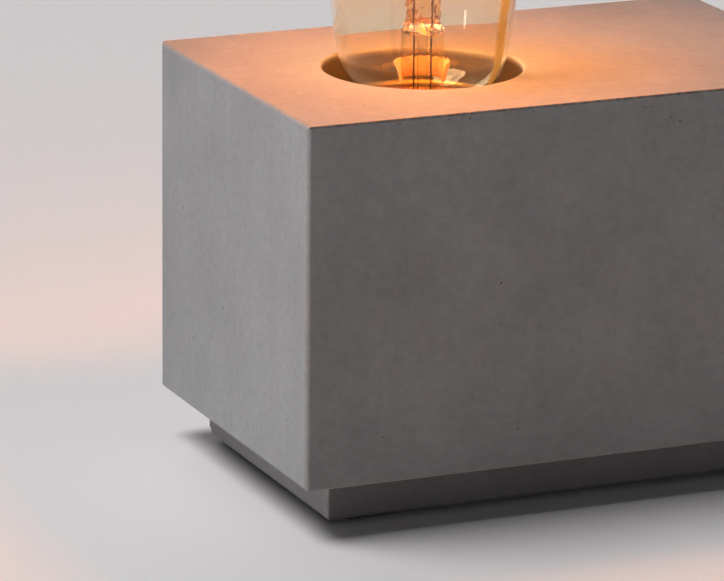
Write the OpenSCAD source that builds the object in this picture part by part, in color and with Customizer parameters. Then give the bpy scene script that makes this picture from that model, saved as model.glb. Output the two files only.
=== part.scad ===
// Table lamp: a cast concrete block on a set-back plinth, with a lampholder and a screw-in bulb sunk in
// a round recess near its left end. Origin: middle of the footprint, on the table. +X runs along the
// length to the right, +Y to the back, +Z up. Millimetres.

/* [Block] */
// Length of the concrete block, left to right
block_l = 175; // [165:1:230]
// Width of the block, front to back
block_w = 113; // [106:1:150]
// Height of the block, without the plinth
block_h = 105; // [100:1:140]
// Radius of the two upright corners at the front
front_corner_r = 1.5; // [0.5:0.1:6]
// Radius of the two upright corners at the back
back_corner_r = 4; // [0.5:0.1:8]
// Radius of the top and bottom edges at the two ends
end_edge_r = 1.6; // [0.4:0.1:4]
// Radius of the top and bottom edges along the front and back
long_edge_r = 0.5; // [0.2:0.1:4]

/* [Recess] */
// Radius of the round recess
recess_r = 29; // [27:0.5:36]
// Distance of the recess's axis from the block's left end
recess_x = 59.5; // [56:0.5:70]
// Depth of the recess
recess_depth = 66; // [62:0.5:72]
// Radius of the recess's mouth edge
mouth_r = 1; // [0.3:0.1:3]

/* [Wiring chamber] */
// Length of the chamber in the block's underside
chamber_l = 84; // [80:1:96]
// Width of the chamber
chamber_w = 56; // [55:1:70]
// Height of the chamber
chamber_h = 22; // [21:0.5:26]
// Radius of the chamber's upright corners
chamber_corner_r = 6; // [2:0.5:12]

/* [Plinth] */
// Height of the base slab under the block
slab_h = 13.5; // [12.5:0.5:20]
// How far the slab stands back from the block's faces
slab_inset = 11.5; // [8:0.5:14]
// Radius of the slab's upright corners
slab_corner_r = 1; // [0.5:0.1:5]
// Chamfer along the slab's lower edges
slab_chamfer = 1.2; // [0.3:0.1:2]

/* [Feet] */
// Radius of a foot pad
foot_r = 8; // [5:0.5:9]
// Gap that the pads leave under the slab
foot_gap = 1.5; // [1:0.1:4]
// How deep a pad sits in its pocket
foot_sink = 1; // [0.5:0.1:2]
// Distance of a pad's centre from the slab's end and side
foot_inset = 11.5; // [10:0.5:14]

/* [Slab screws] */
// Distance of a screw from the slab's end
slab_screw_inset = 10; // [8:0.5:12]
// Distance between the two screws at one end
slab_screw_gap = 24; // [16:1:32]
// Radius of the screw's shank
slab_screw_r = 2; // [1.5:0.1:2.5]
// Radius of the screw's head
slab_head_r = 3.8; // [3:0.1:4.5]
// Height of the screw's head
slab_head_h = 2.6; // [1.5:0.1:3.5]
// Depth of the counterbore for the head
slab_counterbore = 5; // [4:0.5:8]
// Length of the threaded insert in the block
insert_l = 10; // [6:0.5:14]
// Wall of the threaded insert
insert_wall = 1; // [0.6:0.1:2]

/* [Cord inlet] */
// Radius of the bore that the cord passes through
cord_bore_r = 3.2; // [2.5:0.1:3.4]
// Wall of the rubber grommet
grommet_wall = 1.4; // [0.8:0.1:1.6]
// Length of the slab's edge that the grommet lines
grommet_l = 14; // [8:0.5:15]
// Thickness of the grommet's outer flange
flange_t = 1.5; // [1:0.1:3]
// How far the flange stands out around the grommet
flange_lip = 1.3; // [0.5:0.1:1.5]

/* [Cord clamp] */
// Length of the clamp bar
clamp_l = 26; // [25:0.5:34]
// Width of the clamp bar
clamp_w = 9; // [7:0.5:9.5]
// Thickness of the clamp bar
clamp_t = 3; // [2:0.1:3.5]
// Distance between the clamp's screws
clamp_screw_gap = 18; // [16:0.5:19]
// Gap between the clamp bar and the chamber's back wall
clamp_wall_gap = 1.5; // [1:0.5:4]
// Gap between the clamp bar and the grommet
clamp_grommet_gap = 4.5; // [4:0.5:6]

/* [Small screws] */
// Radius of a small screw's shank
small_screw_r = 1.5; // [1.2:0.05:1.6]
// Radius of a small screw's head
small_head_r = 2.6; // [2.2:0.1:2.8]
// Height of a small screw's head
small_head_h = 1.8; // [1:0.1:2.2]
// Length of a small threaded insert
small_insert_l = 6; // [4:0.5:7]
// Wall of a small threaded insert
small_insert_wall = 0.8; // [0.5:0.1:1]

/* [Terminal strip] */
// Distance between two poles
pole_pitch = 9; // [9:0.25:10.5]
// Depth of the strip, front to back
strip_w = 17; // [16:0.5:20]
// Height of the strip's body below its screw towers
strip_h = 9; // [8.5:0.25:11]
// Height of the screw towers
tower_h = 5; // [3:0.5:6]
// Radius of a screw tower
tower_r = 3.2; // [3:0.1:3.4]
// Radius of a brass barrel
barrel_r = 2.5; // [2.3:0.1:2.6]
// Radius of a barrel's bore
barrel_bore_r = 1.5; // [1.3:0.1:1.8]
// Distance from the block's middle line to the strip's middle
strip_front = 8; // [6:0.5:9]

/* [Nipple] */
// Outer radius of the threaded tube
nipple_r = 5; // [4.5:0.1:5.5]
// Wall of the threaded tube
nipple_wall = 1; // [0.6:0.1:1.3]
// Radius of the washer in the wiring chamber
chamber_washer_r = 12; // [9:0.5:14]
// Radius of the washer under the lampholder
seat_washer_r = 11; // [9:0.5:14]
// Thickness of both washers
washer_t = 1.5; // [0.8:0.1:2.5]
// Thickness of the earth tag
tag_t = 0.8; // [0.4:0.1:1.2]
// Height of the nut
nut_h = 4; // [3:0.5:5]
// Width of the nut across its flats
nut_flats = 14; // [13:0.5:17]

/* [Lampholder] */
// Outer radius of the lampholder
holder_r = 20; // [19.5:0.1:21.5]
// Height of the lampholder's rim above the recess's floor
holder_h = 56.3; // [55:0.1:60]
// Wall of the lampholder's metal shells
holder_wall = 1.2; // [0.8:0.1:1.4]
// Height of the neck that takes the threaded tube
neck_h = 6.5; // [5.5:0.5:8]
// Outer radius of that neck
neck_r = 8; // [7.5:0.1:8]
// Radius of the rounded lower corner
dome_r = 12; // [11:0.5:12]
// Width of the ledge that the porcelain rests on
ledge_w = 4.4; // [3.5:0.1:5.5]
// Height of the threaded spigot inside the sleeve
spigot_h = 8; // [5:0.5:12]
// Radius of the rolled bead at the rim
bead_r = 1.3; // [0.9:0.1:1.6]
// Width of the lip that holds the porcelain down
lip_w = 2.2; // [1.8:0.1:2.6]

/* [Porcelain and contacts] */
// Height of the porcelain body
insert_h = 26.8; // [25.6:0.2:28]
// Thickness of its floor
insert_floor = 4.8; // [4:0.2:5.6]
// Height of the step that the screw shell stands on
shell_step = 4.3; // [4:0.1:4.8]
// Width of that step
shell_step_w = 2.1; // [1.8:0.1:2.3]
// Wall of the screw shell
shell_wall = 0.5; // [0.3:0.05:0.6]
// Height of the screw shell
shell_h = 17; // [12:0.5:17.5]
// Height of the centre contact's tongue above the porcelain's floor
contact_rise = 2; // [1.6:0.1:2.4]
// Thickness of the contact strips
strip_t = 0.4; // [0.3:0.05:0.5]
// Width of the contact strips
strip_wide = 5; // [4:0.5:5.5]
// Distance of a terminal post from the axis
post_x = 8; // [7.5:0.1:8.2]
// Side length of a terminal post
post_side = 6; // [5.5:0.5:6]
// Height of a terminal post
post_h = 5.6; // [5.2:0.1:6]
// Radius of a post's clamping screw
post_screw_r = 1.2; // [0.9:0.1:1.3]
// Radius of a post's riveted stud
stud_r = 1.2; // [0.9:0.1:1.4]

/* [Leads] */
// Radius of an insulated lead
lead_r = 1.1; // [0.8:0.05:1.15]
// Distance of a lead from the threaded tube's axis
lead_ring_r = 1.6; // [1.4:0.05:1.75]

/* [Bulb cap] */
// Radius of the bulb's screw cap
cap_r = 13.1; // [12.8:0.05:13.3]
// Height of the bulb's cap, from its contact to its rim
cap_h = 26.5; // [25.5:0.1:28]
// Thickness of the cap's brass
cap_t = 0.4; // [0.3:0.05:0.5]
// Radius of the contact at the bulb's foot
tip_r = 4.4; // [3.5:0.1:5]
// Height of that contact
tip_h = 2.2; // [1.6:0.1:2.6]
// Height of the black glass ring round it
ring_h = 3.6; // [3:0.1:4.4]

/* [Bulb glass] */
// Radius of the glass neck inside the cap
glass_neck_r = 12.2; // [11.5:0.1:12.3]
// How far the glass reaches down into the cap
glass_sunk = 6; // [3:0.5:9]
// Radius of the glass at its shoulder
shoulder_r = 26; // [22:0.5:26.5]
// Largest radius of the glass
glass_r = 32; // [29:0.5:40]
// Height of the glass above the cap
glass_h = 115; // [100:1:140]
// Thickness of the glass
glass_wall = 1; // [0.6:0.1:1.2]

/* [Bulb mount] */
// Angle of the two lead wires, seen from above
mount_angle = -23.5; // [-180:0.5:180]
// Radius of the stem tube
stem_r = 6.2; // [5.5:0.1:6.4]
// Wall of the stem tube
stem_wall = 0.9; // [0.6:0.1:1.1]
// Height of the stem tube's pinched end above the cap
pinch_z = 22; // [19:0.5:30]
// Height of the pinch
pinch_h = 15; // [10:0.5:20]
// Width of the pinch
pinch_w = 9.4; // [8.5:0.1:11]
// Thickness of the pinch
pinch_t = 4.2; // [3.5:0.1:5]
// Radius of the exhaust tube
exhaust_r = 1.5; // [1:0.1:1.7]
// Distance between the two lead wires
wire_gap = 4.9; // [4.5:0.1:6]
// Radius of a lead wire
wire_r = 0.35; // [0.2:0.05:0.4]
// Height of the foil collar's foot above the cap
collar_z = 7.4; // [6:0.2:8]
// Height of the foil collar round the stem
collar_h = 6; // [4:0.5:8]
// Spread of the foil collar at its top
collar_spread = 1.2; // [0.2:0.1:2]
// Angle that the collar leaves open in front of the wires
collar_open = 120; // [60:5:160]
// Radius of the glass rod
rod_r = 1.6; // [1.2:0.1:2]
// Length of the glass rod
rod_l = 44; // [36:1:48]
// Radius of the two glass buttons on the rod
button_r = 2.6; // [2.2:0.1:3.2]
// Radius of the filament cage at its top
cage_top_r = 11; // [8:0.5:14]
// Radius of the filament cage at its foot
cage_foot_r = 14; // [10:0.5:16]
// Number of hooks that hold the filament's upper bends
top_hooks = 6; // [4:1:7]
// Radius of the coiled filament
filament_r = 0.3; // [0.2:0.05:0.4]
// Radius of a support hook's wire
hook_r = 0.25; // [0.15:0.05:0.3]

/* [Clearances] */
// Gap between parts that slip into each other
slip = 0.1; // [0.05:0.05:0.2]
// Gap between the bulb's cap and the screw shell
thread_gap = 0.3; // [0.2:0.05:0.45]
// Gap between the bulb's foot and the centre contact
contact_gap = 0.3; // [0.2:0.05:0.6]
// Gap between the nipple and the hole cast for it
cast_gap = 0.4; // [0.2:0.1:1]

/* [Hidden] */
$fn = 64;
// Sides of a swept wire or lead
lead_sides = 8;
wire_sides = 6;
// A cut reaches this far past the face that it opens
past = 1;

// Heights above the table
slab_z = foot_gap;
block_z = slab_z + slab_h;
block_top = block_z + block_h;
chamber_roof = block_z + chamber_h;
recess_floor = block_top - recess_depth;

// The recess's axis, the inlet's line and the slab's outline
axis_x = -block_l / 2 + recess_x;
inlet_x = 0;
slab_l = block_l - 2 * slab_inset;
slab_w = block_w - 2 * slab_inset;
slab_back = slab_w / 2;
chamber_x = (axis_x + inlet_x) / 2;

// Feet and slab screws
foot_t = foot_gap + foot_sink;
foot_x = slab_l / 2 - foot_inset;
foot_y = slab_w / 2 - foot_inset;
slab_screw_x = slab_l / 2 - slab_screw_inset;
slab_screw_y = slab_screw_gap / 2;
slab_head_seat = slab_z + slab_counterbore;
insert_r = slab_screw_r + slip / 2 + insert_wall;
slab_screw_top = block_z + insert_l - 2;

// Cord inlet, groove and clamp
inlet_z = slab_z + slab_h / 2;
grommet_r = cord_bore_r + grommet_wall;
groove_r = cord_bore_r + 0.5;
groove_end = slab_back - grommet_l;
clamp_y = min(chamber_w / 2 - clamp_wall_gap, groove_end - clamp_grommet_gap) - clamp_w / 2;
clamp_seat_z = block_z - clamp_t - 0.5;
small_insert_r = small_screw_r + slip / 2 + small_insert_wall;

// Terminal strip
strip_y = -strip_front;
strip_l = 2 * pole_pitch + 10;
barrel_z = block_z + strip_h - 3;
barrel_l = strip_w - 2;
strip_top = block_z + strip_h;
terminal_y = barrel_l / 2 - 3;

// Nipple stack, from the chamber's roof down
washer_z = chamber_roof - washer_t;
tag_z = washer_z - tag_t;
nut_z = tag_z - nut_h;
nipple_z = nut_z - 1.5;
nipple_hole_r = nipple_r + slip;
tag_r = nipple_r + 3;
tag_tail = 15;
crimp_l = 6;
crimp_r = lead_r + 0.8;
crimp_z = tag_z + tag_t - crimp_r;

// Lampholder, from the recess's floor up
holder_z = recess_floor + washer_t;
dome_z = holder_z + neck_h;
ledge_z = dome_z + dome_r;
ledge_top = ledge_z + holder_wall;
dome_x = holder_r - dome_r;
spigot_r = holder_r - holder_wall - slip;
rim_z = recess_floor + holder_h;
nipple_top = dome_z + holder_wall;
insert_body_r = spigot_r - holder_wall - slip;
insert_floor_top = ledge_top + insert_floor;
insert_top = ledge_top + insert_h;
shell_z = insert_floor_top + shell_step;
shell_r = cap_r + thread_gap + shell_wall;
well_r = shell_r + 2 * slip;
lower_well_r = well_r - shell_step_w;
riser_x = lower_well_r - 0.4;
contact_top = insert_floor_top + contact_rise;
post_z = ledge_top - post_h;
grub_r = 1.4;
grub_z = holder_z + neck_h / 2;

// Bulb, from its contact up
tip_z = contact_top + contact_gap;
ring_z = tip_z + tip_h;
shell_foot_z = ring_z + ring_h;
cap_rim = tip_z + cap_h;
pinch_foot = cap_rim + pinch_z;
pinch_top = pinch_foot + pinch_h;
pinch_sunk = 0.6;
rod_top = pinch_top + rod_l;
foot_button_z = pinch_top + button_r + 4;
hook_rise = 2;
bend_r = hook_r + filament_r + slip;
cage_top_z = rod_top + hook_rise + bend_r;
cage_foot_z = foot_button_z + hook_rise - bend_r;
cage_step = 360 / (2 * top_hooks + 1);
cage_start = 90 + cage_step / 2;

// A curve through points, as Catmull and Rom drew it
function blend(a, b, c, d, t) =
    0.5 * (2 * b + (c - a) * t + (2 * a - 5 * b + 4 * c - d) * t * t + (3 * b - a - 3 * c + d) * t * t * t);
function curve(pts, steps) = [
    for (i = [0 : len(pts) - 2])
        for (s = [0 : steps - 1])
            blend(pts[max(i - 1, 0)], pts[i], pts[i + 1], pts[min(i + 2, len(pts) - 1)], s / steps),
    pts[len(pts) - 1]
];
function unit(v) = v / norm(v);
function along(p, i) = unit(p[min(i + 1, len(p) - 1)] - p[max(i - 1, 0)]);

// A flat line moved sideways, and a strip of even thickness round it
function beside(p, d) = [for (i = [0 : len(p) - 1]) let (t = along(p, i)) p[i] + d * [t[1], -t[0]]];
function reversed(p) = [for (i = [len(p) - 1 : -1 : 0]) p[i]];
function ribbon(p, t) = concat(beside(p, t / 2), reversed(beside(p, -t / 2)));

// Side directions that don't twist along a path
function across(v) = unit(cross(v, abs(v[2]) < 0.8 ? [0, 0, 1] : [1, 0, 0]));
function sides(p, i = 0, last = undef) =
    i == len(p) ? [] :
    let (t = along(p, i), s = i == 0 ? across(t) : unit(last - (last * t) * t))
    concat([s], sides(p, i + 1, s));

// A round wire of radius r swept along path, with n sides
module wire(path, r, n) {
    side = sides(path);
    last = len(path) - 1;
    points = [
        for (i = [0 : last])
            let (s = side[i], u = cross(along(path, i), s))
            for (k = [0 : n - 1]) path[i] + r * (cos(360 * k / n) * s + sin(360 * k / n) * u)
    ];
    walls = [
        for (i = [0 : last - 1])
            for (k = [0 : n - 1])
                let (a = i * n + k, b = i * n + (k + 1) % n)
                for (f = [[a, a + n, b], [b, a + n, b + n]]) f
    ];
    foot = [for (k = [1 : n - 2]) [0, k, k + 1]];
    head = [for (k = [1 : n - 2]) [last * n, last * n + k + 1, last * n + k]];
    polyhedron(points = points, faces = concat(walls, foot, head), convexity = 6);
}

// A rectangle centred on the origin with two corner radii, front and back
module rounded_rect(l, w, front_r, back_r) {
    difference() {
        square([l, w], center = true);
        for (s = [-1, 1]) {
            translate([s * (l / 2 - front_r), -(w / 2 - front_r)]) corner_cut(front_r, s, -1);
            translate([s * (l / 2 - back_r), w / 2 - back_r]) corner_cut(back_r, s, 1);
        }
    }
}

// What a rounded corner leaves out, about its centre, towards sx and sy
module corner_cut(r, sx, sy) {
    difference() {
        translate([sx > 0 ? 0 : -r - past, sy > 0 ? 0 : -r - past]) square(r + past);
        circle(r);
    }
}

// An upright tube or disc about the origin, from z up
module ring(outer, inner, z, h) {
    translate([0, 0, z]) difference() {
        cylinder(r = outer, h = h);
        translate([0, 0, -past]) cylinder(r = inner, h = h + 2 * past);
    }
}

module at_axis() {
    translate([axis_x, 0, 0]) children();
}

module at_feet() {
    for (sx = [-1, 1]) for (sy = [-1, 1]) translate([sx * foot_x, sy * foot_y, 0]) children();
}

module at_slab_screws() {
    for (sx = [-1, 1]) for (sy = [-1, 1]) translate([sx * slab_screw_x, sy * slab_screw_y, 0]) children();
}

module at_clamp_screws() {
    for (s = [-1, 1]) translate([inlet_x + s * clamp_screw_gap / 2, clamp_y, 0]) children();
}

module at_strip_screws() {
    for (s = [-1, 1]) translate([inlet_x + s * pole_pitch / 2, strip_y, 0]) children();
}

module at_poles() {
    for (i = [-1, 0, 1]) translate([inlet_x + i * pole_pitch, strip_y, 0]) children();
}

// A cylinder that lies along Y, from y towards +Y
module rod_y(r, y, l) {
    translate([0, y, 0]) rotate([-90, 0, 0]) cylinder(r = r, h = l);
}

// The cast block: three rounded prisms that share one box, cut by recess, passage, chamber and sockets
module concrete_block() {
    color("#8d8b8a") difference() {
        translate([0, 0, block_z]) intersection() {
            linear_extrude(block_h) rounded_rect(block_l, block_w, front_corner_r, back_corner_r);
            translate([0, block_w / 2, block_h / 2]) rotate([90, 0, 0])
                linear_extrude(block_w) rounded_rect(block_l, block_h, end_edge_r, end_edge_r);
            translate([-block_l / 2, 0, block_h / 2]) rotate([90, 0, 90])
                linear_extrude(block_l) rounded_rect(block_w, block_h, long_edge_r, long_edge_r);
        }
        at_axis() {
            translate([0, 0, recess_floor]) cylinder(r = recess_r, h = recess_depth + past);
            rotate_extrude() difference() {
                translate([0, block_top - mouth_r]) square([recess_r + mouth_r, mouth_r + past]);
                translate([recess_r + mouth_r, block_top - mouth_r]) circle(mouth_r);
            }
            translate([0, 0, block_z - past]) cylinder(r = nipple_r + cast_gap, h = recess_floor - block_z + 2 * past);
        }
        translate([chamber_x, 0, block_z - past]) linear_extrude(chamber_h + past)
            rounded_rect(chamber_l, chamber_w, chamber_corner_r, chamber_corner_r);
        at_slab_screws() translate([0, 0, block_z - past])
            cylinder(r = insert_r + slip / 2, h = insert_l + 1 + past);
    }
}

// The plinth: a thin casting with a lined cord inlet in its back edge and a groove to the terminal strip
module base_slab() {
    color("#7b7978") difference() {
        translate([0, 0, slab_z]) intersection() {
            linear_extrude(slab_h) rounded_rect(slab_l, slab_w, slab_corner_r, slab_corner_r);
            translate([0, slab_w / 2, 0]) rotate([90, 0, 0]) linear_extrude(slab_w) slab_profile(slab_l);
            translate([-slab_l / 2, 0, 0]) rotate([90, 0, 90]) linear_extrude(slab_l) slab_profile(slab_w);
        }
        at_feet() translate([0, 0, slab_z - past]) cylinder(r = foot_r + 2 * slip, h = foot_sink + past);
        at_slab_screws() {
            translate([0, 0, slab_z - past]) cylinder(r = slab_head_r + 0.8, h = slab_counterbore + past);
            translate([0, 0, slab_z]) cylinder(r = slab_screw_r + 0.25, h = slab_h + past);
        }
        translate([inlet_x, 0, inlet_z]) {
            rod_y(grommet_r + slip, groove_end, grommet_l + past);
            rod_y(groove_r, 3, groove_end - 3 + past / 10);
            translate([-groove_r, 3, 0]) cube([2 * groove_r, groove_end - 3, slab_h]);
        }
        translate([inlet_x - clamp_l / 2 - 0.5, clamp_y - clamp_w / 2 - 0.5, clamp_seat_z])
            cube([clamp_l + 1, clamp_w + 1, slab_h]);
        at_clamp_screws() small_socket(clamp_seat_z);
        at_strip_screws() small_socket(block_z);
    }
}

// The slab's cross-section, with its lower edges chamfered
module slab_profile(l) {
    polygon([
        [-l / 2 + slab_chamfer, 0], [l / 2 - slab_chamfer, 0], [l / 2, slab_chamfer],
        [l / 2, slab_h], [-l / 2, slab_h], [-l / 2, slab_chamfer]
    ]);
}

// The hole that holds a small threaded insert, down from z
module small_socket(z) {
    translate([0, 0, z - small_insert_l - 0.5]) cylinder(r = small_insert_r + slip / 2, h = small_insert_l + 0.5 + past);
}

module feet() {
    color("#2b2b2b") at_feet() cylinder(r = foot_r, h = foot_t);
}

module block_inserts() {
    color("#b08d4a") at_slab_screws() ring(insert_r, slab_screw_r + slip / 2, block_z, insert_l);
}

module slab_screws() {
    color("#b9bcbf") at_slab_screws() {
        translate([0, 0, slab_head_seat - slab_head_h]) difference() {
            cylinder(r = slab_head_r, h = slab_head_h);
            translate([-slab_head_r, -0.6, -past]) cube([2 * slab_head_r, 1.2, 1 + past]);
        }
        translate([0, 0, slab_head_seat]) cylinder(r = slab_screw_r, h = slab_screw_top - slab_head_seat);
    }
}

module cord_grommet() {
    color("#1f1f1f") translate([inlet_x, 0, inlet_z]) difference() {
        union() {
            rod_y(grommet_r, groove_end, grommet_l);
            rod_y(grommet_r + flange_lip, slab_back, flange_t);
        }
        rod_y(cord_bore_r, groove_end - past, grommet_l + flange_t + 2 * past);
    }
}

module cord_clamp() {
    color("#e7e3da") difference() {
        translate([inlet_x, clamp_y, clamp_seat_z]) linear_extrude(clamp_t)
            rounded_rect(clamp_l, clamp_w, 1.5, 1.5);
        at_clamp_screws() translate([0, 0, clamp_seat_z - past])
            cylinder(r = small_screw_r + 2 * slip, h = clamp_t + 2 * past);
        translate([inlet_x, 0, clamp_seat_z]) rod_y(1, clamp_y - clamp_w, 2 * clamp_w);
    }
}

module clamp_screws() {
    color("#c4c6c8") at_clamp_screws() small_screw(clamp_seat_z + clamp_t, clamp_t + small_insert_l - 1);
}

// A small cheese-head screw whose head stands on z and whose shank reaches down by l
module small_screw(z, l) {
    difference() {
        translate([0, 0, z]) cylinder(r = small_head_r, h = small_head_h);
        translate([-small_head_r, -0.35, z + small_head_h - 0.7]) cube([2 * small_head_r, 0.7, past]);
    }
    translate([0, 0, z - l]) cylinder(r = small_screw_r, h = l);
}

module small_inserts() {
    color("#b08d4a") {
        at_clamp_screws() small_insert(clamp_seat_z);
        at_strip_screws() small_insert(block_z);
    }
}

module small_insert(z) {
    ring(small_insert_r, small_screw_r + slip / 2, z - small_insert_l, small_insert_l);
}

// The terminal strip's plastic body: a bar with a screw tower over each end of each barrel
module terminal_body() {
    color("#efece4") difference() {
        union() {
            translate([inlet_x, strip_y, block_z]) linear_extrude(strip_h) rounded_rect(strip_l, strip_w, 1, 1);
            at_poles() for (s = [-1, 1]) translate([0, s * terminal_y, strip_top - past])
                cylinder(r = tower_r, h = tower_h + past);
        }
        at_poles() {
            translate([0, 0, barrel_z]) rod_y(barrel_r + slip, -strip_w / 2 - past, strip_w + 2 * past);
            for (s = [-1, 1]) translate([0, s * terminal_y, barrel_z])
                cylinder(r = barrel_bore_r + 0.5, h = strip_h + tower_h);
        }
        at_strip_screws() translate([0, 0, block_z - past])
            cylinder(r = small_screw_r + slip, h = strip_h + 2 * past);
    }
}

module terminal_barrels() {
    color("#c9a24c") at_poles() translate([0, 0, barrel_z]) difference() {
        rod_y(barrel_r, -barrel_l / 2, barrel_l);
        rod_y(barrel_bore_r, -barrel_l / 2 - past, barrel_l + 2 * past);
        for (s = [-1, 1]) translate([0, s * terminal_y, 0]) cylinder(r = barrel_bore_r, h = barrel_r + past);
    }
}

module terminal_screws() {
    color("#c4c6c8") at_poles() for (s = [-1, 1])
        translate([0, s * terminal_y, barrel_z + lead_r + slip / 2]) difference() {
            cylinder(r = barrel_bore_r - slip, h = strip_h + 1 - lead_r);
            translate([-barrel_bore_r, -0.3, strip_h - lead_r + 0.3]) cube([2 * barrel_bore_r, 0.6, past]);
        }
}

module terminal_fixings() {
    color("#c4c6c8") at_strip_screws() small_screw(strip_top, strip_h + small_insert_l - 1);
}

module nipple() {
    color("#c8a555") at_axis() ring(nipple_r, nipple_r - nipple_wall, nipple_z, nipple_top - nipple_z);
}

module seat_washer() {
    color("#c4c6c8") at_axis() ring(seat_washer_r, nipple_hole_r, recess_floor, washer_t);
}

module chamber_washer() {
    color("#c4c6c8") at_axis() ring(chamber_washer_r, nipple_hole_r, washer_z, washer_t);
}

// A ring tag with a tail and a crimp barrel that points to the front
module earth_tag() {
    color("#c9b06a") at_axis() difference() {
        union() {
            translate([0, 0, tag_z]) cylinder(r = tag_r, h = tag_t);
            translate([-2.5, -tag_tail + crimp_l, tag_z]) cube([5, tag_tail - crimp_l, tag_t]);
            translate([0, 0, crimp_z]) rod_y(crimp_r, -tag_tail, crimp_l);
        }
        translate([0, 0, tag_z - past]) cylinder(r = nipple_hole_r, h = tag_t + 2 * past);
        translate([0, 0, crimp_z]) rod_y(lead_r + slip, -tag_tail - past, crimp_l + 2 * past);
    }
}

module nipple_nut() {
    color("#c4c6c8") at_axis() translate([0, 0, nut_z]) difference() {
        cylinder(d = nut_flats / cos(30), h = nut_h, $fn = 6);
        translate([0, 0, -past]) cylinder(r = nipple_hole_r, h = nut_h + 2 * past);
    }
}

// Where a lead stands inside the threaded tube
function in_tube(angle, z) = [axis_x + lead_ring_r * cos(angle), lead_ring_r * sin(angle), z];
function at_pole(i, y, z) = [inlet_x + i * pole_pitch, strip_y - strip_w / 2 - y, z];
// How far a lead reaches into its barrel, and into its post
lead_sunk = strip_w / 2 - 2;
lead_end = post_h - 1.4;
// The middle of the lane that the leads follow along the chamber's front wall
lane_y = -chamber_w / 2 + lead_r + 1.4;
post_screw_z = post_z + post_h / 2;

module live_lead() {
    color("#7a4a2b") wire(curve([
        at_pole(-1, -lead_sunk, barrel_z), at_pole(-1, -1, barrel_z), at_pole(-1, 1, barrel_z),
        [inlet_x - 10.5, lane_y + 4.5, barrel_z + 0.5],
        [inlet_x - 15, lane_y + 4, barrel_z + 1], [axis_x + 6, strip_y - 6, barrel_z + 0.5],
        [axis_x + 1, -5.5, barrel_z + 0.5], in_tube(-90, nipple_z - 3), in_tube(-90, nipple_z + 2),
        in_tube(-90, (nipple_z + nipple_top) / 2), in_tube(-90, nipple_top - 1),
        [axis_x - post_x / 2 - 0.8, -0.8, (nipple_top + post_z) / 2 - 0.5], [axis_x - post_x, 0, post_z - 1],
        [axis_x - post_x, 0, post_z - 0.1], [axis_x - post_x, 0, post_z + lead_end]
    ], 4), lead_r, lead_sides);
}

module neutral_lead() {
    color("#3d63a8") wire(curve([
        at_pole(1, -lead_sunk, barrel_z), at_pole(1, -1, barrel_z), at_pole(1, 1, barrel_z),
        [inlet_x + 6, lane_y + 2, barrel_z - 1],
        [inlet_x - 6, lane_y, block_z + 3.5], [axis_x + 10, lane_y + 4.5, block_z + 2.5],
        [axis_x + 3, -8, block_z + 2], [axis_x + 1.8, -1.5, block_z + 3.5],
        in_tube(30, nipple_z - 4), in_tube(30, nipple_z + 2), in_tube(30, (nipple_z + nipple_top) / 2),
        in_tube(30, nipple_top - 1), [axis_x + post_x / 2 + 0.8, 0.4, (nipple_top + post_z) / 2 - 0.5],
        [axis_x + post_x, 0, post_z - 1], [axis_x + post_x, 0, post_z - 0.1], [axis_x + post_x, 0, post_z + lead_end]
    ], 4), lead_r, lead_sides);
}

module earth_lead() {
    color("#7d9a3a") wire(curve([
        at_pole(0, -lead_sunk, barrel_z), at_pole(0, -1, barrel_z), at_pole(0, 1, barrel_z),
        [inlet_x - 3, lane_y + 3.5, barrel_z + 3],
        [inlet_x - 13, lane_y + 0.5, crimp_z - 4], [axis_x + 5, lane_y + 0.5, crimp_z - 0.5],
        [axis_x, strip_y - 13, crimp_z], [axis_x, -tag_tail - 1, crimp_z], [axis_x, -tag_tail + crimp_l - 1, crimp_z]
    ], 4), lead_r, lead_sides);
}

// The lampholder's lower shell: neck, rounded corner, ledge for the porcelain and a threaded spigot
module holder_cap() {
    color("#c29a4b") difference() {
        at_axis() rotate_extrude() {
            translate([nipple_hole_r, holder_z]) square([neck_r - nipple_hole_r, neck_h + holder_wall]);
            translate([nipple_hole_r, dome_z]) square([dome_x - nipple_hole_r + 0.01, holder_wall]);
            intersection() {
                translate([dome_x, ledge_z]) difference() {
                    circle(dome_r);
                    circle(dome_r - holder_wall);
                }
                translate([dome_x, dome_z]) square(dome_r);
            }
            translate([holder_r - ledge_w, ledge_z]) square([ledge_w, holder_wall]);
            translate([spigot_r - holder_wall, ledge_z]) square([holder_wall, holder_wall + spigot_h]);
        }
        translate([axis_x, 0, grub_z]) rod_y(grub_r + slip, -neck_r - past, neck_r + past);
    }
}

module grub_screw() {
    color("#8f9397") translate([axis_x, 0, grub_z]) difference() {
        rod_y(grub_r, -neck_r, neck_r - nipple_r - slip);
        translate([-grub_r, -neck_r - past, -0.25]) cube([2 * grub_r, 0.8 + past, 0.5]);
    }
}

// The lampholder's upper shell, with a rolled bead at its rim and a lip that clamps the porcelain
module holder_sleeve() {
    color("#d0a552") at_axis() rotate_extrude() {
        translate([holder_r - holder_wall, ledge_top]) square([holder_wall, rim_z - bead_r - ledge_top]);
        translate([holder_r - holder_wall - lip_w, insert_top]) square([lip_w + holder_wall / 2, 1]);
        translate([holder_r - holder_wall / 2, rim_z - bead_r]) circle(bead_r);
    }
}

module holder_insert() {
    color("#ece7da") difference() {
        at_axis() rotate_extrude() difference() {
            translate([0, ledge_top]) square([insert_body_r, insert_h]);
            translate([0, insert_floor_top]) square([lower_well_r, insert_h]);
            translate([0, shell_z]) square([well_r, insert_h]);
        }
        for (s = [-1, 1]) translate([axis_x + s * post_x, 0, ledge_top - past])
            cylinder(r = stud_r + slip, h = insert_floor + 2 * past);
    }
}

module screw_shell() {
    color("#cdb77b") at_axis() {
        ring(shell_r, shell_r - shell_wall, shell_z, shell_h);
        ring(shell_r - shell_wall / 2, riser_x - 1, shell_z, shell_wall);
    }
}

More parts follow.
